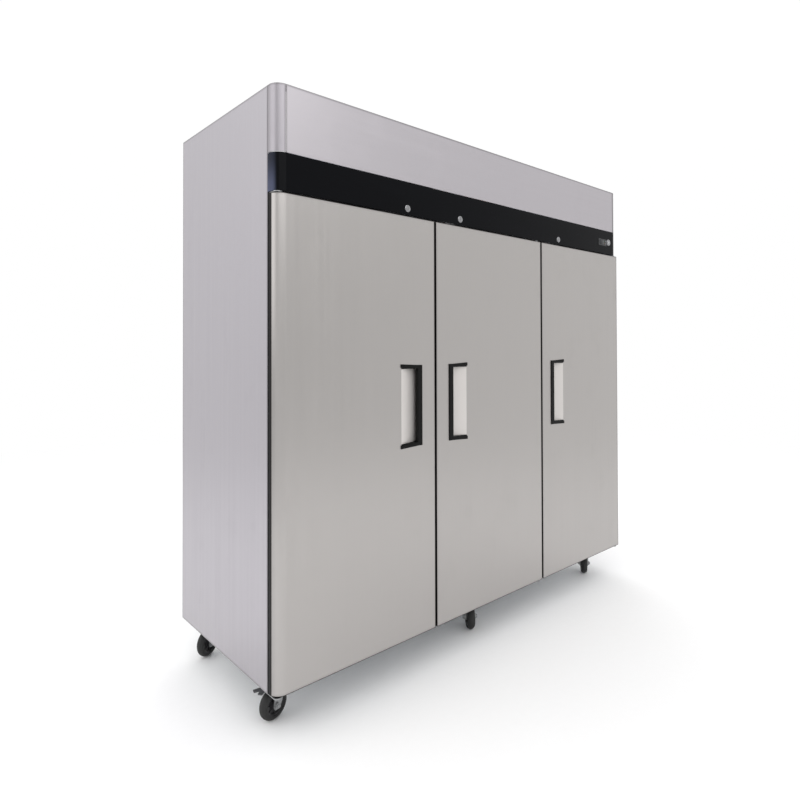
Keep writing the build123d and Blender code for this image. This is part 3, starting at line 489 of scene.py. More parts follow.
def sheet_pair(bm, top, bottom):
    """Joins two equal grids of vertices into one closed thin body."""
    for grid in (top, bottom):
        for row, following in zip(grid, grid[1:]):
            for i in range(len(row) - 1):
                bm.faces.new((row[i], row[i + 1], following[i + 1], following[i]))
    for grid_edge in (lambda g: g[0], lambda g: g[-1], lambda g: [r[0] for r in g], lambda g: [r[-1] for r in g]):
        upper, lower = grid_edge(top), grid_edge(bottom)
        for i in range(len(upper) - 1):
            bm.faces.new((upper[i], upper[i + 1], lower[i + 1], lower[i]))


def rounded_loop(low, high, radius, arc=5):
    """Points round a rectangle with rounded corners, as (across, up) pairs."""
    corners = [(high[0] - radius, high[1] - radius), (low[0] + radius, high[1] - radius),
               (low[0] + radius, low[1] + radius), (high[0] - radius, low[1] + radius)]
    points = []
    for quarter, (across, up) in enumerate(corners):
        for i in range(arc + 1):
            angle = math.pi / 2 * (quarter + i / arc)
            points.append((across + radius * math.cos(angle), up + radius * math.sin(angle)))
    return points


def ring_path(at, axis, radius, steps=40):
    turn = Z.rotation_difference(Vector(axis)).to_matrix()
    angles = [2 * math.pi * i / steps for i in range(steps)]
    return [Vector(at) + turn @ Vector((radius * math.cos(a), radius * math.sin(a), 0)) for a in angles]


def piece(name, bm, material, body="cabinet", slot=None, replaces=(), crease=35):
    """Makes one piece from a bmesh, riding on a body. A slot's name stands for its material."""
    bmesh.ops.recalc_face_normals(bm, faces=bm.faces)
    mesh = bpy.data.meshes.new(name)
    bm.to_mesh(mesh)
    bm.free()
    mesh.materials.append(MATERIAL[material] if isinstance(material, str) else material)
    return place(name, mesh, body, slot or material, replaces, crease)


def place(name, mesh, body, slot, replaces=(), crease=35, at=(0, 0, 0)):
    mesh.shade_smooth()
    mesh.set_sharp_from_angle(angle=math.radians(crease))
    obj = bpy.data.objects.new(name, mesh)
    obj.location = at
    bpy.context.scene.collection.objects.link(obj)
    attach(obj, body)
    if replaces:
        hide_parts(*replaces)
    return obj


def turned(name, profile, at, axis, steps, material, **riding):
    """One lathed piece."""
    bm = bmesh.new()
    lathe(bm, profile, at, axis, steps)
    piece(name, bm, material, **riding)


def screw(bm, at, axis, radius=4 * MM):
    """Pan head with a cross recess."""
    profile = [(1.0, 0.0), (1.0, 0.16), (0.9, 0.36), (0.66, 0.5), (0.44, 0.53, 0.32), (0.36, 0.2, 0.4), (0, 0.16)]
    lathe(bm, [(radius * r, radius * h, *lobes) for r, h, *lobes in profile], at, axis, steps=24)


def hex_bolt(bm, at, axis, across=13 * MM, height=6 * MM):
    """Washer and chamfered six-sided head."""
    half = across / 2
    washer = 1.5 * MM
    lathe(bm, [(0, 0), (1.5 * half, 0), (1.6 * half, 0.3 * MM), (1.6 * half, washer - 0.3 * MM),
               (1.5 * half, washer), (0, washer)], at, axis, steps=24)
    flat = 1.1547 * half
    lathe(bm, [(flat, washer), (flat, 0.85 * height), (0.93 * half, height), (0, height)], at, axis, steps=6)


# ---------------------------------------------------------------- band fittings
def lock_details():
    """A collar round each lock's barrel, and the dark key slot in the barrel's face."""
    collar = mm((9.2, 0), (9.2, 1.0), (9.7, 1.5), (11.4, 1.3), (12.4, 0.6), (12.6, 0))
    face_ring = mm((6.0, 0), (6.0, 0.35), (6.5, 0.45), (7.0, 0.35), (7.0, 0))
    for name in DOORS:
        pivot = PIVOT[f"{name}_lock_turn"]
        at = Vector((pivot.x, FRONT, pivot.z))
        turned(f"{name}_lock_collar", collar, at, -Y, 48, "chrome")
        keyway = bmesh.new()
        slab(keyway, at + Vector((-0.7, -1.6, -4.2)) * MM, at + Vector((0.7, -1.1, 4.2)) * MM, 0.2 * MM)
        piece(f"{name}_lock_keyway", keyway, "fan_plastic", f"{name}_lock", "chrome")
        turned(f"{name}_lock_face_ring", face_ring, at - Y * 2 * MM, -Y, 40, "chrome", body=f"{name}_lock")


def power_button_details():
    """Chrome collar round the power button and a dished cap with a small unlit indicator."""
    low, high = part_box("power_button")
    at = Vector(((low.x + high.x) / 2, FRONT, (low.z + high.z) / 2))
    face = at - Y * 3 * MM
    collar = mm((13.2, 0), (13.2, 1.4), (13.9, 2.0), (15.6, 1.6), (16.4, 0))
    cap = mm((11.2, 0), (11.0, 0.5), (10.2, 0.7), (9.4, 0.4), (5.0, 0.15), (0, 0.1))
    light = mm((1.6, 0), (1.5, 0.3), (0.9, 0.6), (0, 0.7))
    turned("power_button_collar", collar, at, -Y, 56, "chrome")
    turned("power_button_cap", cap, face, -Y, 48, "chrome", body="power_button")
    turned("power_button_indicator", light, face, -Y, 20, "lamp_lens", body="power_button", slot="chrome")


def controller_details():
    """Smoked window, two indicator dots and an arrow on each key."""
    low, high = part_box("controller_case")
    middle = Vector(((low.x + high.x) / 2, low.y, (low.z + high.z) / 2))
    smoked = Surface("smoked_window", (0.010, 0.011, 0.014), roughness=0.08, specular=0.35)
    haze = smoked.noise((120, 120, 120), detail=4)
    smoked.tone(haze, 0.8, 1.3)
    smoked.gloss(smoked.remap(haze, 0.3, 0.8, 0.05, 0.16))
    window = bmesh.new()
    slab(window, middle + Vector((-30.6, 0.2, -10.6)) * MM, middle + Vector((14.6, 0.95, 10.6)) * MM, 0.35 * MM)
    piece("controller_window", window, smoked.owner, slot="controller_plastic")
    for name, height, colour in (("green", 4, (0.05, 0.3, 0.1)), ("amber", -4, (0.5, 0.25, 0.04))):
        dot = mm((1.2, 0), (1.1, 0.3), (0.6, 0.6), (0, 0.65))
        turned(f"controller_light_{name}", dot, middle + Vector((18.2, 0, height)) * MM, -Y, 20,
               moulded(f"indicator_{name}", colour, 0.25), slot="controller_plastic")
    for name, up in (("up", 1), ("down", -1)):
        key_low, key_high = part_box(f"controller_key_{name}")
        centre = (key_low + key_high) / 2
        arrow = bmesh.new()
        lower = []
        for across, height in ((-2.4, -1.4), (2.4, -1.4), (0, 1.8)):
            corner = (centre.x + across * MM, key_low.y + 0.1 * MM, centre.z + up * height * MM)
            lower.append(arrow.verts.new(corner))
        upper = [arrow.verts.new((v.co.x, key_low.y - 0.35 * MM, v.co.z)) for v in lower]
        bridge(arrow, lower, upper)
        arrow.faces.new(upper)
        arrow.faces.new(lower)
        piece(f"controller_arrow_{name}", arrow, "box_grey", f"key_{name}", "key_rubber")


# ---------------------------------------------------------------- doors
GASKET_W = 16 * MM


def gasket_profile(depth):
    """(inset, distance from the door) round the gasket: base, folded bellows and flat magnet strip."""
    side = [(0.0, 0.0), (0.0, 0.14), (2.6, 0.30), (0.6, 0.46), (1.0, 0.70), (1.9, 0.94), (3.0, 1.0)]
    near = [(inset * MM, share * depth) for inset, share in side]
    return near + [(GASKET_W - inset, y) for inset, y in reversed(near)]


def door_gasket(name):
    low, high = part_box(f"{name}_door_gasket")
    bm = bmesh.new()
    rings = []
    for inset, y in gasket_profile(high.y - low.y):
        loop = rounded_loop((low.x + inset, low.z + inset), (high.x - inset, high.z - inset),
                            max(5 * MM - inset, 0.4 * MM))
        rings.append([bm.verts.new((x, low.y + y, z)) for x, z in loop])
    for first, second in zip(rings, rings[1:] + rings[:1]):
        bridge(bm, first, second)
    piece(f"{name}_door_bellows_gasket", bm, "gasket_rubber", f"{name}_door",
          replaces=(f"{name}_door_gasket",), crease=50)


def door_screws(name):
    """Screws along the flange of the door's inner panel."""
    low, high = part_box(f"{name}_door_gasket")
    inner = GASKET_W + 5 * MM
    bm = bmesh.new()
    for x in (low.x + inner, high.x - inner):
        for i in range(6):
            z = low.z + 0.09 + i * (high.z - low.z - 0.18) / 5
            screw(bm, (x, low.y, z), Y, 3.2 * MM)
    piece(f"{name}_door_panel_screws", bm, "chrome", f"{name}_door")


def grip_caps(name, hinge):
    """Screw caps let into the legs of the door grip."""
    low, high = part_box(f"{name}_door_grip")
    bm = bmesh.new()
    end = high.x if hinge > 0 else low.x
    for z in (low.z + 8 * MM, high.z - 8 * MM):
        at = (end - hinge * 14 * MM, low.y, z)
        lathe(bm, mm((3.4, 0), (3.3, 0.25), (2.6, 0.45), (0, 0.5)), at, -Y, steps=24)
    piece(f"{name}_door_grip_caps", bm, "grip_plastic", f"{name}_door")


# ---------------------------------------------------------------- hinges and casters
def hinge_bolts():
    bm = bmesh.new()
    for name in DOORS:
        for reach in (14, 36):
            at = (PIVOT[f"{name}_door_hinge"].x, FACE + reach * MM, BASE - 4 * MM)
            hex_bolt(bm, at, -Z, 10 * MM, 5 * MM)
    piece("hinge_bracket_bolts", bm, "zinc_steel")
    washers = bmesh.new()
    for name in DOORS:
        pivot = PIVOT[f"{name}_door_hinge"]
        for z in (BASE + 0.2 * MM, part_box(f"{name}_door_skin")[1].z + 0.1 * MM):
            lathe(washers, mm((5.3, 0), (10, 0), (10, 0.9), (5.3, 0.9), (5.3, 0)), (pivot.x, pivot.y, z), Z)
    piece("hinge_washers", washers, "grip_plastic", slot="zinc_steel")


PLATE_BOLT_X, PLATE_BOLT_Y = 35 * MM, 31 * MM
RACE_Z = 130 * MM
WHEEL_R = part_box("front_left_caster_wheel")[1].z / 2


def caster_mounts():
    """Four bolts in each caster plate and the ball race between the plate and the fork."""
    bolts = bmesh.new()
    races = bmesh.new()
    race = mm((26.5, 0), (30, 0.6), (31, 3), (30, 5.5), (27, 9.5), (26.5, 11), (26.5, 0))
    for name in CASTERS:
        pivot = PIVOT[f"{name}_caster_swivel"]
        for side, end in QUADRANTS:
            at = (pivot.x + side * PLATE_BOLT_X, pivot.y + end * PLATE_BOLT_Y, BASE - 4 * MM)
            hex_bolt(bolts, at, -Z, 13 * MM, 6.5 * MM)
        lathe(races, race, (pivot.x, pivot.y, RACE_Z), Z, steps=48)
    piece("caster_plate_bolts", bolts, "zinc_steel")
    piece("caster_ball_races", races, "zinc_steel")


def tyre_profile():
    """(radius, distance from the middle) of the tyre: crowned tread with a groove near each shoulder."""
    half = 15 * MM
    points = [(34 * MM, -half), (41 * MM, -half)]
    count = 14
    for i in range(count + 1):
        across = -half + 2 * half * i / count
        share = across / half
        radius = WHEEL_R - 8 * MM * abs(share) ** 2.6
        groove = 0.9 * MM if i in (3, count - 3) else 0.0
        points.append((radius - groove, across))
    return points + [(41 * MM, half), (34 * MM, half), (34 * MM, -half)]


def caster_wheel(name):
    """Rubber tyre on a ribbed core with a hub and thread guards."""
    axis = Vector(next(j["axis"] for j in frame["joints"] if j["name"] == f"{name}_wheel_roll"))
    centre = PIVOT[f"{name}_wheel_roll"]
    turned(f"{name}_tyre", tyre_profile(), centre, axis, 64, "caster_tread", body=f"{name}_wheel",
           replaces=(f"{name}_caster_wheel",))
    core = bmesh.new()
    rim = [(33.9, -13), (31, -13.6), (29, -12), (28, -6), (17, -6), (15, -9), (14, -16), (5.1, -16.5), (5.1, 16.5),
           (14, 16), (15, 9), (17, 6), (28, 6), (29, 12), (31, 13.6), (33.9, 13), (33.9, -13)]
    lathe(core, mm(*rim), centre, axis, steps=64)
    out = axis.orthogonal().normalized()
    side = axis.cross(out)
    ribs = 8
    for i in range(ribs):
        angle = 2 * math.pi * i / ribs
        along = out * math.cos(angle) + side * math.sin(angle)
        across = axis.cross(along) * 1.4 * MM
        for face in (-1, 1):
            grids = []
            for edge in (-1, 1):
                rows = []
                for reach, height in ((14.5, 9.5), (20, 9.0), (29.5, 10.5)):
                    base = centre + along * reach * MM + across * edge
                    rows.append([core.verts.new(base + axis * face * 5.8 * MM),
                                 core.verts.new(base + axis * face * height * MM)])
                grids.append(rows)
            sheet_pair(core, *grids)
    piece(f"{name}_wheel_core", core, "fan_plastic", f"{name}_wheel", "caster_tread")
    ends = bmesh.new()
    for face in (-1, 1):
        hex_bolt(ends, centre + axis * face * 25.5 * MM, axis * face, 12 * MM, 6 * MM)
    piece(f"{name}_axle_nuts", ends, "zinc_steel", f"{name}_swivel")


# ---------------------------------------------------------------- inside the cabinet
SHELF_X = (-0.628, 0.0, 0.628)
SHELF_Z = (0.520, 0.830, 1.140)
SHELF_W = 0.576
FRAME_R, WIRE_R = 3.5 * MM, 1.7 * MM
WIRES = 27


def shelf_mesh(y0, y1):
    """One wire shelf about the origin in x and z: round frame, three cross bars and wires on top."""
    bm = bmesh.new()
    half = SHELF_W / 2 - FRAME_R
    loop = rounded_loop((-half, y0 + FRAME_R), (half, y1 - FRAME_R), 14 * MM)
    tube(bm, [(x, y, 0) for x, y in loop], FRAME_R, sides=10, closed=True)
    bars = [y0 + share * (y1 - y0) for share in (0.25, 0.5, 0.75)]
    for y in bars:
        tube(bm, [(-half, y, -1.0 * MM), (half, y, -1.0 * MM)], 2.6 * MM)
    top = 1.6 * MM
    for i in range(WIRES):
        x = -half + (i + 1) * 2 * half / (WIRES + 1)
        ends = [(x, y0 + 1.4 * MM, -2.6 * MM), (x, y0 + 1.9 * MM, 0.6 * MM), (x, y0 + 4.6 * MM, top + FRAME_R / 2)]
        route = ends + [(x, y0 + 12 * MM, top), (x, y1 - 12 * MM, top), (x, y1 - 4 * MM, top + FRAME_R / 2),
                        (x, y1 - 1.8 * MM, 0.4 * MM)]
        tube(bm, route, WIRE_R, sides=6)
    bmesh.ops.recalc_face_normals(bm, faces=bm.faces)
    mesh = bpy.data.meshes.new("wire_shelf")
    bm.to_mesh(mesh)
    bm.free()
    mesh.materials.append(MATERIAL["coated_wire"])
    return mesh


def wire_shelves():
    low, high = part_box("wire_shelves")
    mesh = shelf_mesh(low.y, high.y)
    for level, z in enumerate(SHELF_Z, 1):
        for name, x in zip(DOORS, SHELF_X):
            place(f"{name}_wire_shelf_{level}", mesh, "cabinet", "coated_wire", ("wire_shelves",), at=(x, 0, z))


def lamp_ends():
    """End caps and clips of the interior lamps."""
    low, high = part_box("interior_lamps")
    bm = bmesh.new()
    for x in SHELF_X:
        for side in (-1, 1):
            end = x + side * 0.180
            slab(bm, (min(end, end + side * 9 * MM), low.y - 1.5 * MM, low.z - 1.5 * MM),
                 (max(end, end + side * 9 * MM), high.y + 1.5 * MM, high.z), 2 * MM)
            clip = x + side * 0.11
            slab(bm, (clip - 5 * MM, low.y - 1.2 * MM, low.z + 5 * MM), (clip + 5 * MM, high.y + 1.2 * MM, high.z),
                 0.5 * MM)
    piece("interior_lamp_ends", bm, "inner_panel")


def rotor(name, node, radius, hub, blades=5):
    """Moulded fan rotor: hub with a domed nose, swept and cambered blades."""
    low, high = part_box(node)
    size = high - low
    along = min(range(3), key=lambda i: size[i])
    axis = (X, Y, Z)[along]
    length = size[along]
    at = (low + high) / 2 - axis * length / 2
    turn = Z.rotation_difference(axis).to_matrix()
    bm = bmesh.new()
    bore = 5.2 * MM
    lathe(bm, [(bore, 0.2 * length), (hub * 0.7, 0.12 * length), (hub, 0.25 * length), (hub, 0.85 * length),
               (hub * 0.9, 0.95 * length), (bore, length), (bore, 0.2 * length)], at, axis, steps=40)
    rows, columns = 9, 9
    for blade in range(blades):
        grids = []
        for side in (-1, 1):
            grid = []
            for i in range(rows):
                out = i / (rows - 1)
                reach = hub * 0.93 + out * (radius * 0.96 - hub * 0.93)
                line = []
                for j in range(columns):
                    chord = 2 * j / (columns - 1) - 1
                    angle = 2 * math.pi * blade / blades + 0.32 * out * out + chord * (0.50 - 0.06 * out)
                    camber = 0.07 * (1 - chord * chord)
                    lift = 0.52 + chord * (0.36 - 0.14 * out) + camber
                    thick = side * 0.8 * MM * (1.15 - chord * chord)
                    point = Vector((reach * math.cos(angle), reach * math.sin(angle), length * lift + thick))
                    line.append(bm.verts.new(at + turn @ point))
                grid.append(line)
            grids.append(grid)
        sheet_pair(bm, *grids)
    piece(name, bm, "fan_plastic", node, replaces=(node,))


def wire_guard(bm, at, axis, radius, rings, spokes=4):
    """Rings of wire on crossed spokes, with a plate in the middle."""
    for i in range(rings):
        reach = 0.26 * radius + (i + 1) * 0.74 * radius / rings
        dome = 2.5 * MM * (1 - (reach / radius) ** 2)
        tube(bm, ring_path(Vector(at) + Vector(axis) * dome, axis, reach), 1.2 * MM, sides=6, closed=True)
    turn = Z.rotation_difference(Vector(axis)).to_matrix()
    for i in range(spokes):
        angle = math.pi * (i + 0.5) / spokes
        along = turn @ Vector((math.cos(angle), math.sin(angle), 0))
        route = []
        for k in range(-6, 7):
            route.append(Vector(at) + along * radius * k / 6 + Vector(axis) * 2.5 * MM * (1 - (k / 6) ** 2))
        tube(bm, route, 1.5 * MM, sides=6)
    lathe(bm, [(0, 3.2 * MM), (0.2 * radius, 3.0 * MM), (0.24 * radius, 1.6 * MM), (0.24 * radius, 0.6 * MM),
               (0, 0.6 * MM)], at, axis, steps=32)


def evaporator_fans():
    """Wire guards on the cover's face, with the motors on brackets behind them, and their rotors."""
    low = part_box("evaporator_fan_motors")[0]
    guards = bmesh.new()
    motors = bmesh.new()
    for side in ("left", "right"):
        spin = PIVOT[f"{side}_evaporator_fan_spin"]
        at = Vector((spin.x, low.y + 3 * MM, spin.z))
        wire_guard(guards, at, -Y, 76 * MM, 7)
        for turn in range(4):
            angle = math.pi / 4 + turn * math.pi / 2
            foot = at + Vector((math.cos(angle), 0, math.sin(angle))) * 77 * MM
            screw(guards, foot, -Y, 4 * MM)
        lathe(motors, mm((0, 0), (15, 0), (17, 2), (17, 13), (15, 15), (4, 15.5), (4, 50), (0, 50.5)), at, Y, 40)
        rotor(f"{side}_evaporator_rotor", f"{side}_evaporator_fan", 68 * MM, 18 * MM)
    piece("evaporator_fan_guards", guards, "chrome", replaces=("evaporator_fan_motors",))
    piece("evaporator_motor_cans", motors, "fan_plastic", replaces=("evaporator_fan_motors",))


def fins(bm, low, high, axis, pitch, thickness=0.35 * MM):
    """Thin plates square to one axis, filling a box."""
    count = int((high[axis] - low[axis]) / pitch)
    for i in range(count):
        start, end = Vector(low), Vector(high)
        start[axis] = low[axis] + (i + 0.5) * pitch - thickness / 2
        end[axis] = start[axis] + thickness
        slab(bm, start, end)


def return_bend(bm, at, outward, spread, radius, legs):
    """Half-round tube between two passes of a coil, with its legs running back into the block."""
    outward, spread = Vector(outward), Vector(spread)
    reach = spread.length
    arc = [math.pi * i / 12 for i in range(13)]
    route = [at + spread * math.cos(a) + outward * reach * math.sin(a) for a in arc]
    route = [route[0] - outward * legs, *route, route[-1] - outward * legs]
    tube(bm, route, radius, sides=12)


def condenser():
    """Finned condenser with end plates and return bends."""
    low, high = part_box("condenser_coil")
    bend_reach, plate_out = 19 * MM, 6 * MM
    block_low = Vector((low.x + plate_out, low.y + bend_reach, low.z + 2 * MM))
    block_high = Vector((high.x - plate_out, high.y - bend_reach, high.z - 2 * MM))
    sheets = bmesh.new()
    fins(sheets, block_low, block_high, 1, 3.2 * MM)
    piece("condenser_fins", sheets, "coil_fins", replaces=("condenser_coil",))
    plates = bmesh.new()
    for y in (block_low.y - 2 * MM, block_high.y):
        slab(plates, (low.x, y, low.z), (high.x, y + 2 * MM, high.z), 0.4 * MM)
        slab(plates, (low.x, min(y, y + 0.5 * MM), low.z), (low.x + 1.5 * MM, y + 12 * MM, high.z), 0.3 * MM)
    piece("condenser_end_plates", plates, "galvanised", slot="coil_fins")
    bends = bmesh.new()
    for share in (0.153, 0.401, 0.649, 0.859):
        z = low.z + share * (high.z - low.z)
        for y, out in ((block_low.y - 2 * MM, -Y), (block_high.y + 2 * MM, Y)):
            return_bend(bends, Vector((low.x + 34 * MM, y, z)), out, Z * 13 * MM, 4 * MM, 3 * MM)
    piece("condenser_return_bends", bends, "copper")


def evaporator():
    """Finned evaporator behind its cover, with end plates and return bends."""
    low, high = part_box("evaporator_coil")
    reach = 20 * MM
    block_low = Vector((low.x + reach + 3 * MM, low.y + 4 * MM, low.z + 6 * MM))
    block_high = Vector((high.x - reach - 3 * MM, high.y - 4 * MM, block_low.z + 120 * MM))
    sheets = bmesh.new()
    fins(sheets, block_low, block_high, 0, 5 * MM)
    piece("evaporator_fins", sheets, "coil_fins", replaces=("evaporator_coil",))
    ends = bmesh.new()
    tubes = bmesh.new()
    for x, out in ((block_low.x, -X), (block_high.x, X)):
        slab(ends, (min(x, x + out.x * 2 * MM), low.y, low.z), (max(x, x + out.x * 2 * MM), high.y, high.z), 0.4 * MM)
        for y in (block_low.y + 30 * MM, block_high.y - 30 * MM):
            for z in (block_low.z + 30 * MM, block_low.z + 90 * MM):
                return_bend(tubes, Vector((x + out.x * 2 * MM, y, z)), out, Z * 15.5 * MM, 4.5 * MM, 4 * MM)
    piece("evaporator_end_plates", ends, "galvanised", slot="coil_fins")
    piece("evaporator_return_bends", tubes, "copper")


def cover_screws():
    """Screws along the evaporator cover's face and at the mullions' feet and heads."""
    low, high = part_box("evaporator_cover")
    bm = bmesh.new()
    for i in range(7):
        x = low.x + 0.02 + i * (high.x - low.x - 0.04) / 6
        for z in (low.z + 12 * MM, high.z - 12 * MM):
            screw(bm, (x, low.y, z), -Y, 3.5 * MM)
    post_low, post_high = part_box("mullion_posts")
    for side in (-1, 1):
        for z in (post_low.z + 0.03, post_high.z - 0.03):
            screw(bm, (side * (post_high.x - 45 * MM), post_low.y, z), -Y, 4 * MM)
    piece("interior_screws", bm, "chrome")


# ---------------------------------------------------------------- refrigeration unit on the deck
COMPRESSOR_IN = 0.330  # from the doors' faces to the compressor's middle
GLAND_X = 0.760


def compressor_details():
    """Rubber feet with bolts, and the terminal cover with its wire clip."""
    low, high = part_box("compressor")
    plate_top = DECK + 6 * MM
    feet = bmesh.new()
    bolts = bmesh.new()
    middle = Vector(((low.x + high.x) / 2, FRONT + COMPRESSOR_IN, 0))
    foot = mm((0, 0), (10, 0), (11, 2), (8.5, 4), (11, 6), (10, 8), (0, 8))
    for side, end in QUADRANTS:
        x, y = middle.x + side * 98 * MM, middle.y + end * 68 * MM
        lathe(feet, foot, (x, y, plate_top), Z)
        hex_bolt(bolts, (x, y, plate_top + 8 * MM), Z, 10 * MM, 5 * MM)
    piece("compressor_feet", feet, "caster_tread", slot="compressor_black")
    piece("compressor_foot_bolts", bolts, "zinc_steel")
    cover = bmesh.new()
    slab(cover, (middle.x - 37 * MM, low.y - 3 * MM, DECK + 57 * MM),
         (middle.x + 37 * MM, low.y + 26 * MM, DECK + 123 * MM), 5 * MM, 3)
    clip = ((-38, 24), (-38, -4), (38, -4), (38, 24))
    tube(cover, [(middle.x + x * MM, low.y + y * MM, DECK + 90 * MM) for x, y in clip], 1.5 * MM)
    piece("compressor_terminal_cover", cover, "shroud_steel", slot="compressor_black")


def condenser_fan_parts():
    """Rotor, wire guard over the shroud's mouth, and screws round it."""
    rotor("condenser_rotor", "condenser_fan", 104 * MM, 22 * MM)
    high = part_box("condenser_shroud")[1]
    spin = PIVOT["condenser_fan_spin"]
    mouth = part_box("condenser_coil")[1].x - 6 * MM + 56 * MM
    guard = bmesh.new()
    for i in range(6):
        ring = ring_path((mouth + 2 * MM, spin.y, spin.z), X, 52 * MM + i * 12 * MM)
        tube(guard, ring, 1.3 * MM, sides=6, closed=True)
    for i in range(4):
        angle = math.pi * (i + 0.5) / 2
        along = Vector((0, math.cos(angle), math.sin(angle)))
        centre = Vector((mouth + 2.6 * MM, spin.y, spin.z))
        tube(guard, [centre + along * 50 * MM, centre + along * 120 * MM], 1.8 * MM, sides=6)
        screw(guard, centre + along * 122 * MM - X * 2 * MM, X, 4 * MM)
    piece("condenser_fan_guard", guard, "chrome")
    cap = mm((30, 0), (29, 2), (14, 3.5), (0, 3.6))
    turned("condenser_motor_cap", cap, (high.x, spin.y, spin.z), X, 32, "shroud_steel")


def electrical_box_details():
    """Lid with a lip and four screws, and a ribbed gland nut."""
    low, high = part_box("electrical_box")
    body_back = high.y - 34 * MM
    lid = bmesh.new()
    slab(lid, (low.x - 2 * MM, low.y - 2 * MM, high.z - 12 * MM),
         (high.x + 2 * MM, body_back + 2 * MM, high.z + 1.5 * MM), 3 * MM, 3)
    piece("electrical_box_lid", lid, "box_grey")
    screws = bmesh.new()
    for x in (low.x + 14 * MM, high.x - 14 * MM):
        for y in (low.y + 14 * MM, body_back - 14 * MM):
            screw(screws, (x, y, high.z + 1.5 * MM), Z, 4 * MM)
    piece("electrical_box_screws", screws, "zinc_steel")
    gland = bmesh.new()
    at = Vector((GLAND_X, body_back, DECK + 60 * MM))
    lathe(gland, mm((14.2, 0), (14.2, 5), (13, 6)), at, Y, steps=6)
    lathe(gland, mm((12.5, 6), (12.8, 9, 0.02), (12.8, 18, 0.02), (10.5, 21), (7, 22), (6.5, 14)), at, Y, steps=48)
    piece("cord_gland_nut", gland, "grip_plastic", slot="box_grey")


SPACER_X, SPACER_Z = (-0.620, 0.620), (0.420, 1.500)
RIB_X, RIB_W, RIB_TOP = (-0.30, 0.30), 17 * MM, 1.60


def back_panel_details():
    """Screws along the back panel's borders and in its wall spacers, and two pressed stiffening ribs."""
    low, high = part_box("back_panel")
    bm = bmesh.new()
    columns, rows = 8, 7
    edge = 14 * MM
    for i in range(columns):
        x = low.x + edge + i * (high.x - low.x - 2 * edge) / (columns - 1)
        for z in (low.z + edge, high.z - edge):
            screw(bm, (x, BACK, z), Y, 4 * MM)
    for i in range(1, rows):
        z = low.z + edge + i * (high.z - low.z - 2 * edge) / rows
        for x in (low.x + edge, high.x - edge):
            screw(bm, (x, BACK, z), Y, 4 * MM)
    for x in SPACER_X:
        for z in SPACER_Z:
            for side in (-1, 1):
                screw(bm, (x + side * 42 * MM, high.y, z), Y, 4.5 * MM)
    piece("back_panel_screws", bm, "zinc_steel")
    ribs = bmesh.new()
    for x in RIB_X:
        rings = []
        for inset, proud in mm((0, 0), (3, 0.6), (7, 2.4), (11, 3.0)):
            ring = rounded_loop((x - RIB_W + inset, low.z + 0.20 + inset), (x + RIB_W - inset, RIB_TOP - inset),
                                16.5 * MM - inset, arc=8)
            rings.append([ribs.verts.new((u, BACK + proud, w)) for u, w in ring])
        for first, second in zip(rings, rings[1:]):
            bridge(ribs, first, second)
        ribs.faces.new(rings[-1])
    piece("back_panel_ribs", ribs, "galvanised")


# ---------------------------------------------------------------- studio
VIEW = Vector((math.sin(math.radians(CAMERA_YAW)), math.cos(math.radians(CAMERA_YAW)), 0))
DIM_SIDE = 0.80  # brightness of the studio behind the camera, beside 1 behind the object
FLOOR_NEAR, FLOOR_FAR = 2.4, 6.0


def studio_level(graph, direction):
    """Brightness of the surroundings in a direction: white behind the object, dimmer opposite."""
    facing = graph.node("VectorMath", {0: direction, 1: VIEW}, operation="DOT_PRODUCT").outputs["Value"]
    around = graph.remap(facing, -0.45, 0.25, DIM_SIDE, 1.0, smooth=True)
    height = graph.node("SeparateXYZ", {0: direction}).outputs[2]
    lift = graph.remap(height, 0.12, 0.75, 0.0, 1.0, smooth=True)
    return graph.math("ADD", around, graph.math("MULTIPLY", lift, graph.math("SUBTRACT", 1.02, around)))


def make_world():
    world = bpy.data.worlds.new("studio")
    bpy.context.scene.world = world
    graph = Graph(world, "Generated")
    background = graph.tree.nodes["Background"]
    graph.put(background.inputs["Color"], (1, 1, 1, 1))
    graph.put(background.inputs["Strength"], studio_level(graph, graph.place))


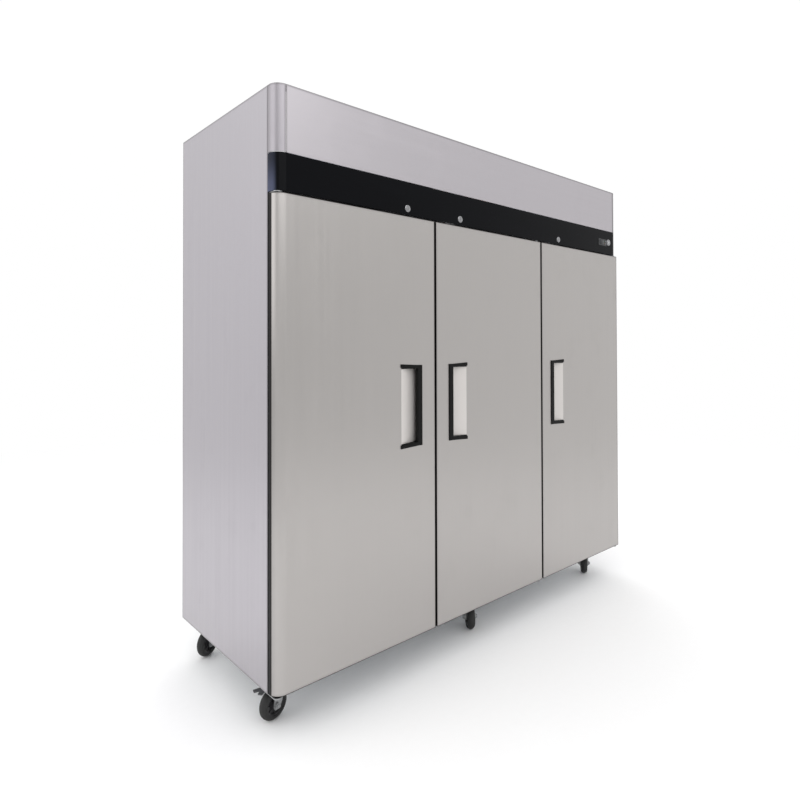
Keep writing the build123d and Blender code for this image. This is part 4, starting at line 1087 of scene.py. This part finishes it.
def make_floor():
    """Pale floor round the object that runs out into the surroundings' own brightness."""
    surface = Surface("floor", (0.95, 0.95, 0.953), roughness=0.6, specular=0.2)
    specks = surface.noise((40, 40, 40), detail=4)
    surface.tone(specks, 0.985, 1.015)
    direction = surface.node("VectorMath", {0: surface.place}, operation="NORMALIZE").outputs[0]
    distance = surface.node("VectorMath", {0: surface.place}, operation="LENGTH").outputs["Value"]
    far = surface.node("Emission", {"Strength": studio_level(surface, direction)}).outputs[0]
    share = surface.remap(distance, FLOOR_NEAR, FLOOR_FAR, smooth=True)
    mixed = surface.node("MixShader", {0: share, 1: surface.shader.outputs[0], 2: far})
    surface.put(surface.tree.nodes["Material Output"].inputs["Surface"], mixed.outputs[0])
    bm = bmesh.new()
    bmesh.ops.create_grid(bm, x_segments=40, y_segments=40, size=60)
    mesh = bpy.data.meshes.new("floor")
    bm.to_mesh(mesh)
    bm.free()
    mesh.materials.append(surface.owner)
    floor = bpy.data.objects.new("floor", mesh)
    bpy.context.scene.collection.objects.link(floor)


def softbox(name, at, target, size, power):
    data = bpy.data.lights.new(name, "AREA")
    data.shape = "RECTANGLE"
    data.size, data.size_y = size
    data.energy = power
    light = bpy.data.objects.new(name, data)
    light.location = at
    light.rotation_euler = (Vector(target) - Vector(at)).to_track_quat("-Z", "Y").to_euler()
    bpy.context.scene.collection.objects.link(light)


def make_lights():
    softbox("key_softbox", (-1.2, -3.6, 4.3), (0, 0, 1.2), (5.0, 4.0), 70)
    softbox("side_softbox", (-4.4, 0.6, 3.2), (-0.9, 0, 1.2), (4.0, 4.0), 45)
    softbox("back_softbox", (2.6, 3.4, 3.8), (0, 0, 1.2), (4.0, 3.0), 50)


# ---------------------------------------------------------------- build
make_camera()
make_world()
make_floor()
make_lights()
paint_cad()
lock_details()
power_button_details()
controller_details()
for door_name, hinge_side in DOORS.items():
    door_gasket(door_name)
    door_screws(door_name)
    grip_caps(door_name, hinge_side)
hinge_bolts()
caster_mounts()
for caster_name in CASTERS:
    caster_wheel(caster_name)
wire_shelves()
lamp_ends()
evaporator_fans()
evaporator()
condenser()
cover_screws()
compressor_details()
condenser_fan_parts()
electrical_box_details()
back_panel_details()

bpy.context.scene.view_settings.view_transform = "Standard"
